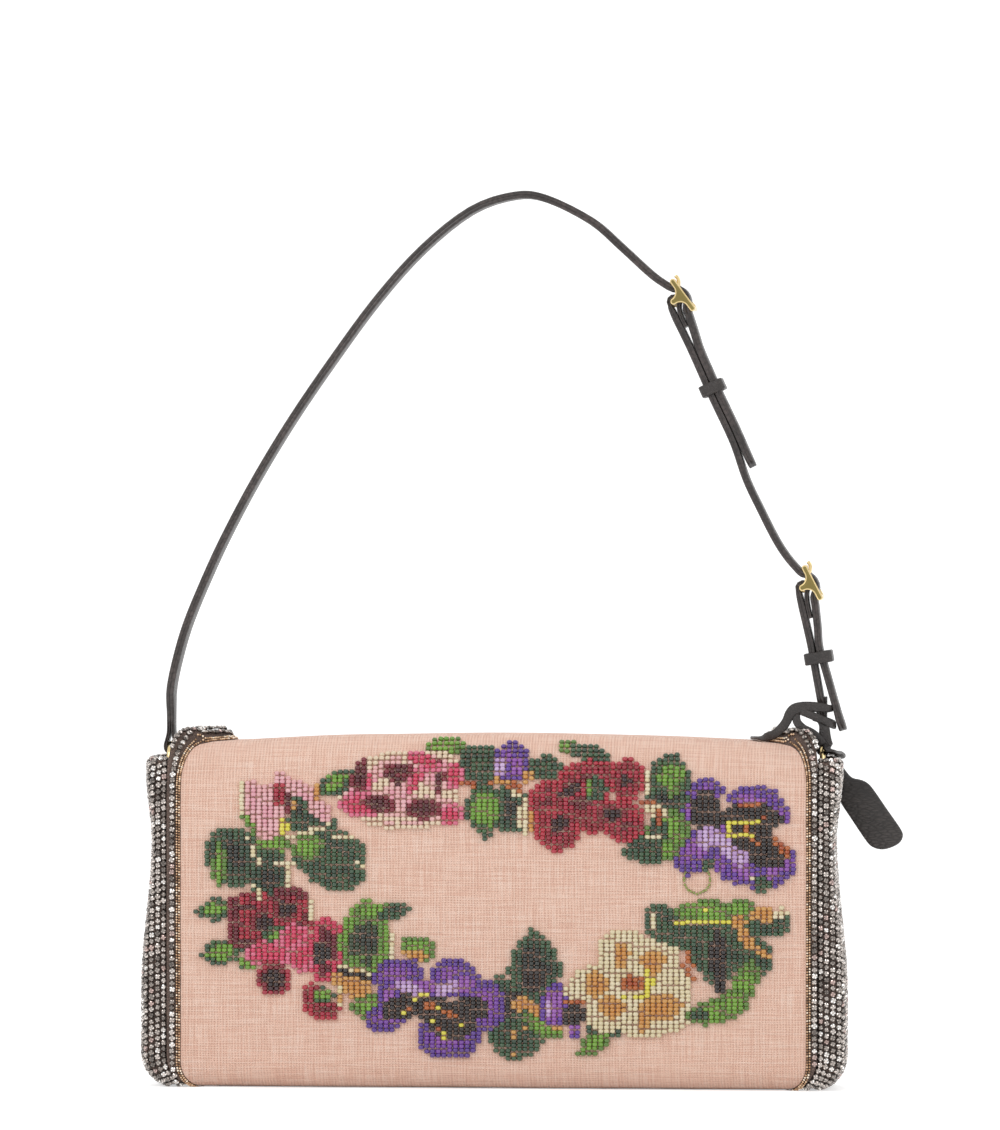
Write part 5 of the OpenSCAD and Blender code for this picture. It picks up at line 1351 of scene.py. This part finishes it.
def leather_tag():
    """The tag: a long neck that widens into a rounded blade, with soft edges and a slight curl."""
    outline = [(3, 2.0), (8, 1.9), (13, 2.0), (15.6, 2.7), (17.8, 4.8), (20.2, 6.2), (23.5, 6.7), (33, 6.8),
               (41.8, 6.9), (44.6, 6.1), (46, 3.8), (45.9, 0.5), (44.6, -3.2), (42, -5.7), (38.5, -6.6),
               (28, -6.6), (21, -6.5), (18.4, -5.5), (16.6, -3.3), (14.5, -2.3), (8, -2.1), (3, -2.1)]
    closed = [Vector(p) for p in outline]
    line = even(through(closed + [closed[0]], 5), 0.8)[:-1]
    points, size = [], len(line)
    layers = ((0.9, 0.0), (0.35, 0.12), (0, 0.5), (0, 1.3), (0.35, 1.68), (0.9, 1.8))
    for inset, y in layers:
        for i, p in enumerate(line):
            way = (line[(i + 1) % size] - line[i - 1]).normalized()
            inner = p + left_of(way) * -inset
            x, z = on_tag(inner)
            curl = 0.9 * clamp((inner[0] - 20) / 26) ** 2
            points.append((x, 24.15 + y + curl, z))
    faces = weave(len(layers), size, True) + strip_ends(len(layers), size)
    obj = piece("leather_tag", points, faces, TAG_CALF, outward=True)
    obj.data.set_sharp_from_angle(angle=math.radians(50))
    return obj


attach(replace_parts(leather_tag(), "tag"), "tag")


# Points round the thong's section, and half its thickness
THONG_SIDES, THONG_HALF = 12, 0.65


def flat_thong(name, guides):
    """A flat thong swept along guides of (X, Y, Z, half width). It lies against the strap where it goes
    round it, faces the same way as the bag's back beside it, and lies flat where it goes over the top."""
    line = even(through([Vector(g) for g in guides], 5), 0.9)
    faces_to = []
    for i, spot in enumerate(line):
        from_strap = Vector((spot[0] - RING_X, spot[1], 0))
        way = heading(line, i).to_3d()
        level = Vector((0, -1, 0)) if abs(way.y) < 0.75 else Vector((0, 0, 1))
        faces_to.append(from_strap.normalized() if from_strap.length < 9 and spot[2] > 136.5 else level)
    points = []
    for i, spot in enumerate(line):
        way = heading(line, i).to_3d().normalized()
        out = sum(faces_to[max(0, i - 3):i + 4], Vector())
        across_it = way.cross(out).normalized()
        out = across_it.cross(way).normalized()
        for k in range(THONG_SIDES):
            turn = math.tau * k / THONG_SIDES
            wide = math.copysign(abs(math.cos(turn)) ** 0.45, math.cos(turn))
            thick = math.copysign(abs(math.sin(turn)) ** 0.6, math.sin(turn))
            points.append(spot.to_3d() + across_it * spot[3] * wide + out * THONG_HALF * thick)
    faces = weave(len(line), THONG_SIDES, True) + strip_ends(len(line), THONG_SIDES)
    return piece(name, points, faces, CALF, outward=True)


# Guides of the thong's strips: X, Y, Z and half width. The crossing one is tied to the strap, and the others
# to no body
THONG = {
    "thong_over_the_top": [
        (121.8, 5.6, 143.2, 1.5), (124.8, 6.6, 143.4, 1.5), (127.2, 5.4, 143.6, 1.4),
        (127.7, 0.0, 143.8, 1.2), (127.5, -5.6, 143.9, 1.2), (124.9, -7.4, 144.3, 1.7),
        (120.8, -8.0, 144.5, 2.0), (117.0, -8.6, 144.4, 2.1), (113.9, -8.9, 143.6, 2.1),
        (112.2, -8.8, 141.7, 1.9), (111.2, -8.6, 139.3, 1.8), (109.3, -8.2, 136.6, 1.8),
        (106.2, -7.4, 134.0, 1.7), (102.4, -5.0, 132.9, 1.6), (99.8, -1.0, 132.5, 1.5),
        (98.4, 4.0, 132.4, 1.4), (97.6, 9.0, 132.3, 1.3)],
    "thong_to_the_tag": [
        (121.6, -7.0, 141.2, 1.5), (124.2, -7.0, 139.4, 1.7), (125.4, -7.2, 136.6, 1.9),
        (125.8, -7.4, 133.4, 2.0), (126.5, -7.2, 130.2, 2.1), (127.6, -4.6, 127.8, 2.1),
        (128.8, 1.5, 127.0, 2.1), (129.4, 8.0, 126.8, 2.1), (130.4, 14.0, 125.6, 2.1),
        (129.8, 19.5, 124.6, 2.1), (127.6, 23.0, 124.2, 2.1), (126.0, 24.2, 124.8, 2.0)],
    "thong_branch": [
        (114.8, -8.2, 142.6, 1.4), (115.0, -8.6, 139.0, 1.6), (117.4, -8.8, 136.4, 1.6),
        (120.6, -8.8, 134.8, 1.6), (123.2, -8.4, 132.6, 1.6), (124.8, -8.2, 130.2, 1.6)],
    "thong_crossing": [
        (116.5, -8.6, 143.0, 1.5), (120.4, -8.8, 141.4, 1.5), (124.1, -8.4, 139.9, 1.5),
        (127.4, -7.0, 138.2, 1.45), (129.0, -3.6, 137.4, 1.4), (128.2, 2.4, 138.0, 1.4),
        (125.2, 6.2, 139.0, 1.4), (121.8, 5.2, 139.8, 1.4), (121.0, 0.0, 140.4, 1.4)],
}
for name, guides in THONG.items():
    obj = flat_thong(name, guides)
    if name == "thong_crossing":
        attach(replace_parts(obj, "thong_wrap"), "strap")
        continue
    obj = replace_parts(obj, "thong_loop") if name == "thong_over_the_top" else obj
    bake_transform(obj)


# Studio

def seen_directly(tree):
    """1 for what the camera sees, also in metal and through glass, and 0 for light that falls on a piece."""
    light = add(tree, "ShaderNodeLightPath").outputs
    seen = add(tree, "ShaderNodeMath", {0: light["Is Camera Ray"], 1: light["Is Glossy Ray"]})
    return add(tree, "ShaderNodeMath", {0: seen, 1: light["Is Transmission Ray"]}, use_clamp=True)


def paper_sweep():
    """White paper, laid flat and rising far behind the bag; it is plain white and keeps the soft shadow."""
    material, tree, shader = finish("white_paper_sweep", "#F4F4F4", 0.95)
    glow = add(tree, "ShaderNodeMath", {0: seen_directly(tree), 1: 0.5}, operation="MULTIPLY")
    shader.inputs["Emission Color"].default_value = (1, 1, 1, 1)
    tree.links.new(glow.outputs[0], shader.inputs["Emission Strength"])
    half, near, far, radius, high = 3500, -1600, 3800, 400, 2800
    bend = [tuple(p) for p in ellipse((far - radius, radius - 0.1), (radius, radius), -90, 0, 16)]
    line = [(near, -0.1)] + bend + [(far, high)]
    points = [(x, y, z) for x in (-half, half) for y, z in line]
    faces = [(i + 1, i, len(line) + i, len(line) + i + 1) for i in range(len(line) - 1)]
    return piece("paper_sweep", points, faces, material)


def white_room(fall):
    """A white world whose light falls on the bag with the strength given."""
    world = bpy.data.worlds.new("white_room")
    bpy.context.scene.world = world
    world.use_nodes = True
    room = world.node_tree
    room.nodes.clear()
    strength = add(room, "ShaderNodeMapRange", {"Value": seen_directly(room), "To Min": fall, "To Max": 1.0})
    glow = add(room, "ShaderNodeBackground", {"Color": (1, 1, 1, 1), "Strength": strength})
    add(room, "ShaderNodeOutputWorld", {0: glow})


def soft_lamp(name, place, aim, side, power):
    lamp = bpy.data.lights.new(name, "AREA")
    lamp.shape, lamp.size, lamp.energy = "SQUARE", side, power
    obj = bpy.data.objects.new(name, lamp)
    obj.location = place
    obj.rotation_euler = (Vector(aim) - Vector(place)).to_track_quat("-Z", "Y").to_euler()
    bpy.context.scene.collection.objects.link(obj)


def photo_camera(target, turn, rise, distance, lens):
    """A camera that looks at a place from a turn and a rise in degrees, a distance away in metres."""
    camera = bpy.data.cameras.new("photo_camera")
    camera.lens, camera.sensor_width, camera.sensor_fit = lens, 36, "AUTO"
    camera.clip_end = 20
    turn, rise = math.radians(turn), math.radians(rise)
    eye = bpy.data.objects.new("photo_camera", camera)
    level = distance * math.cos(rise)
    eye.location = target + Vector((level * math.sin(turn), -level * math.cos(turn),
                                    distance * math.sin(rise)))
    eye.rotation_euler = (target - eye.location).to_track_quat("-Z", "Y").to_euler()
    bpy.context.scene.collection.objects.link(eye)
    bpy.context.scene.camera = eye


paper_sweep()
white_room(0.74)
soft_lamp("window_lamp", (-1.0, -1.3, 1.3), (0, 0, 0.12), 0.9, 9.0)
soft_lamp("side_lamp", (1.5, -0.9, 0.9), (0, 0, 0.12), 0.7, 3.2)
soft_lamp("top_lamp", (0.2, 0.6, 1.6), (0, 0, 0.1), 0.8, 3.6)
photo_camera(Vector((0.0014, 0, 0.1981)), 5, 0.5, 3.0, 250.9)
bpy.context.scene.view_settings.view_transform = "Standard"
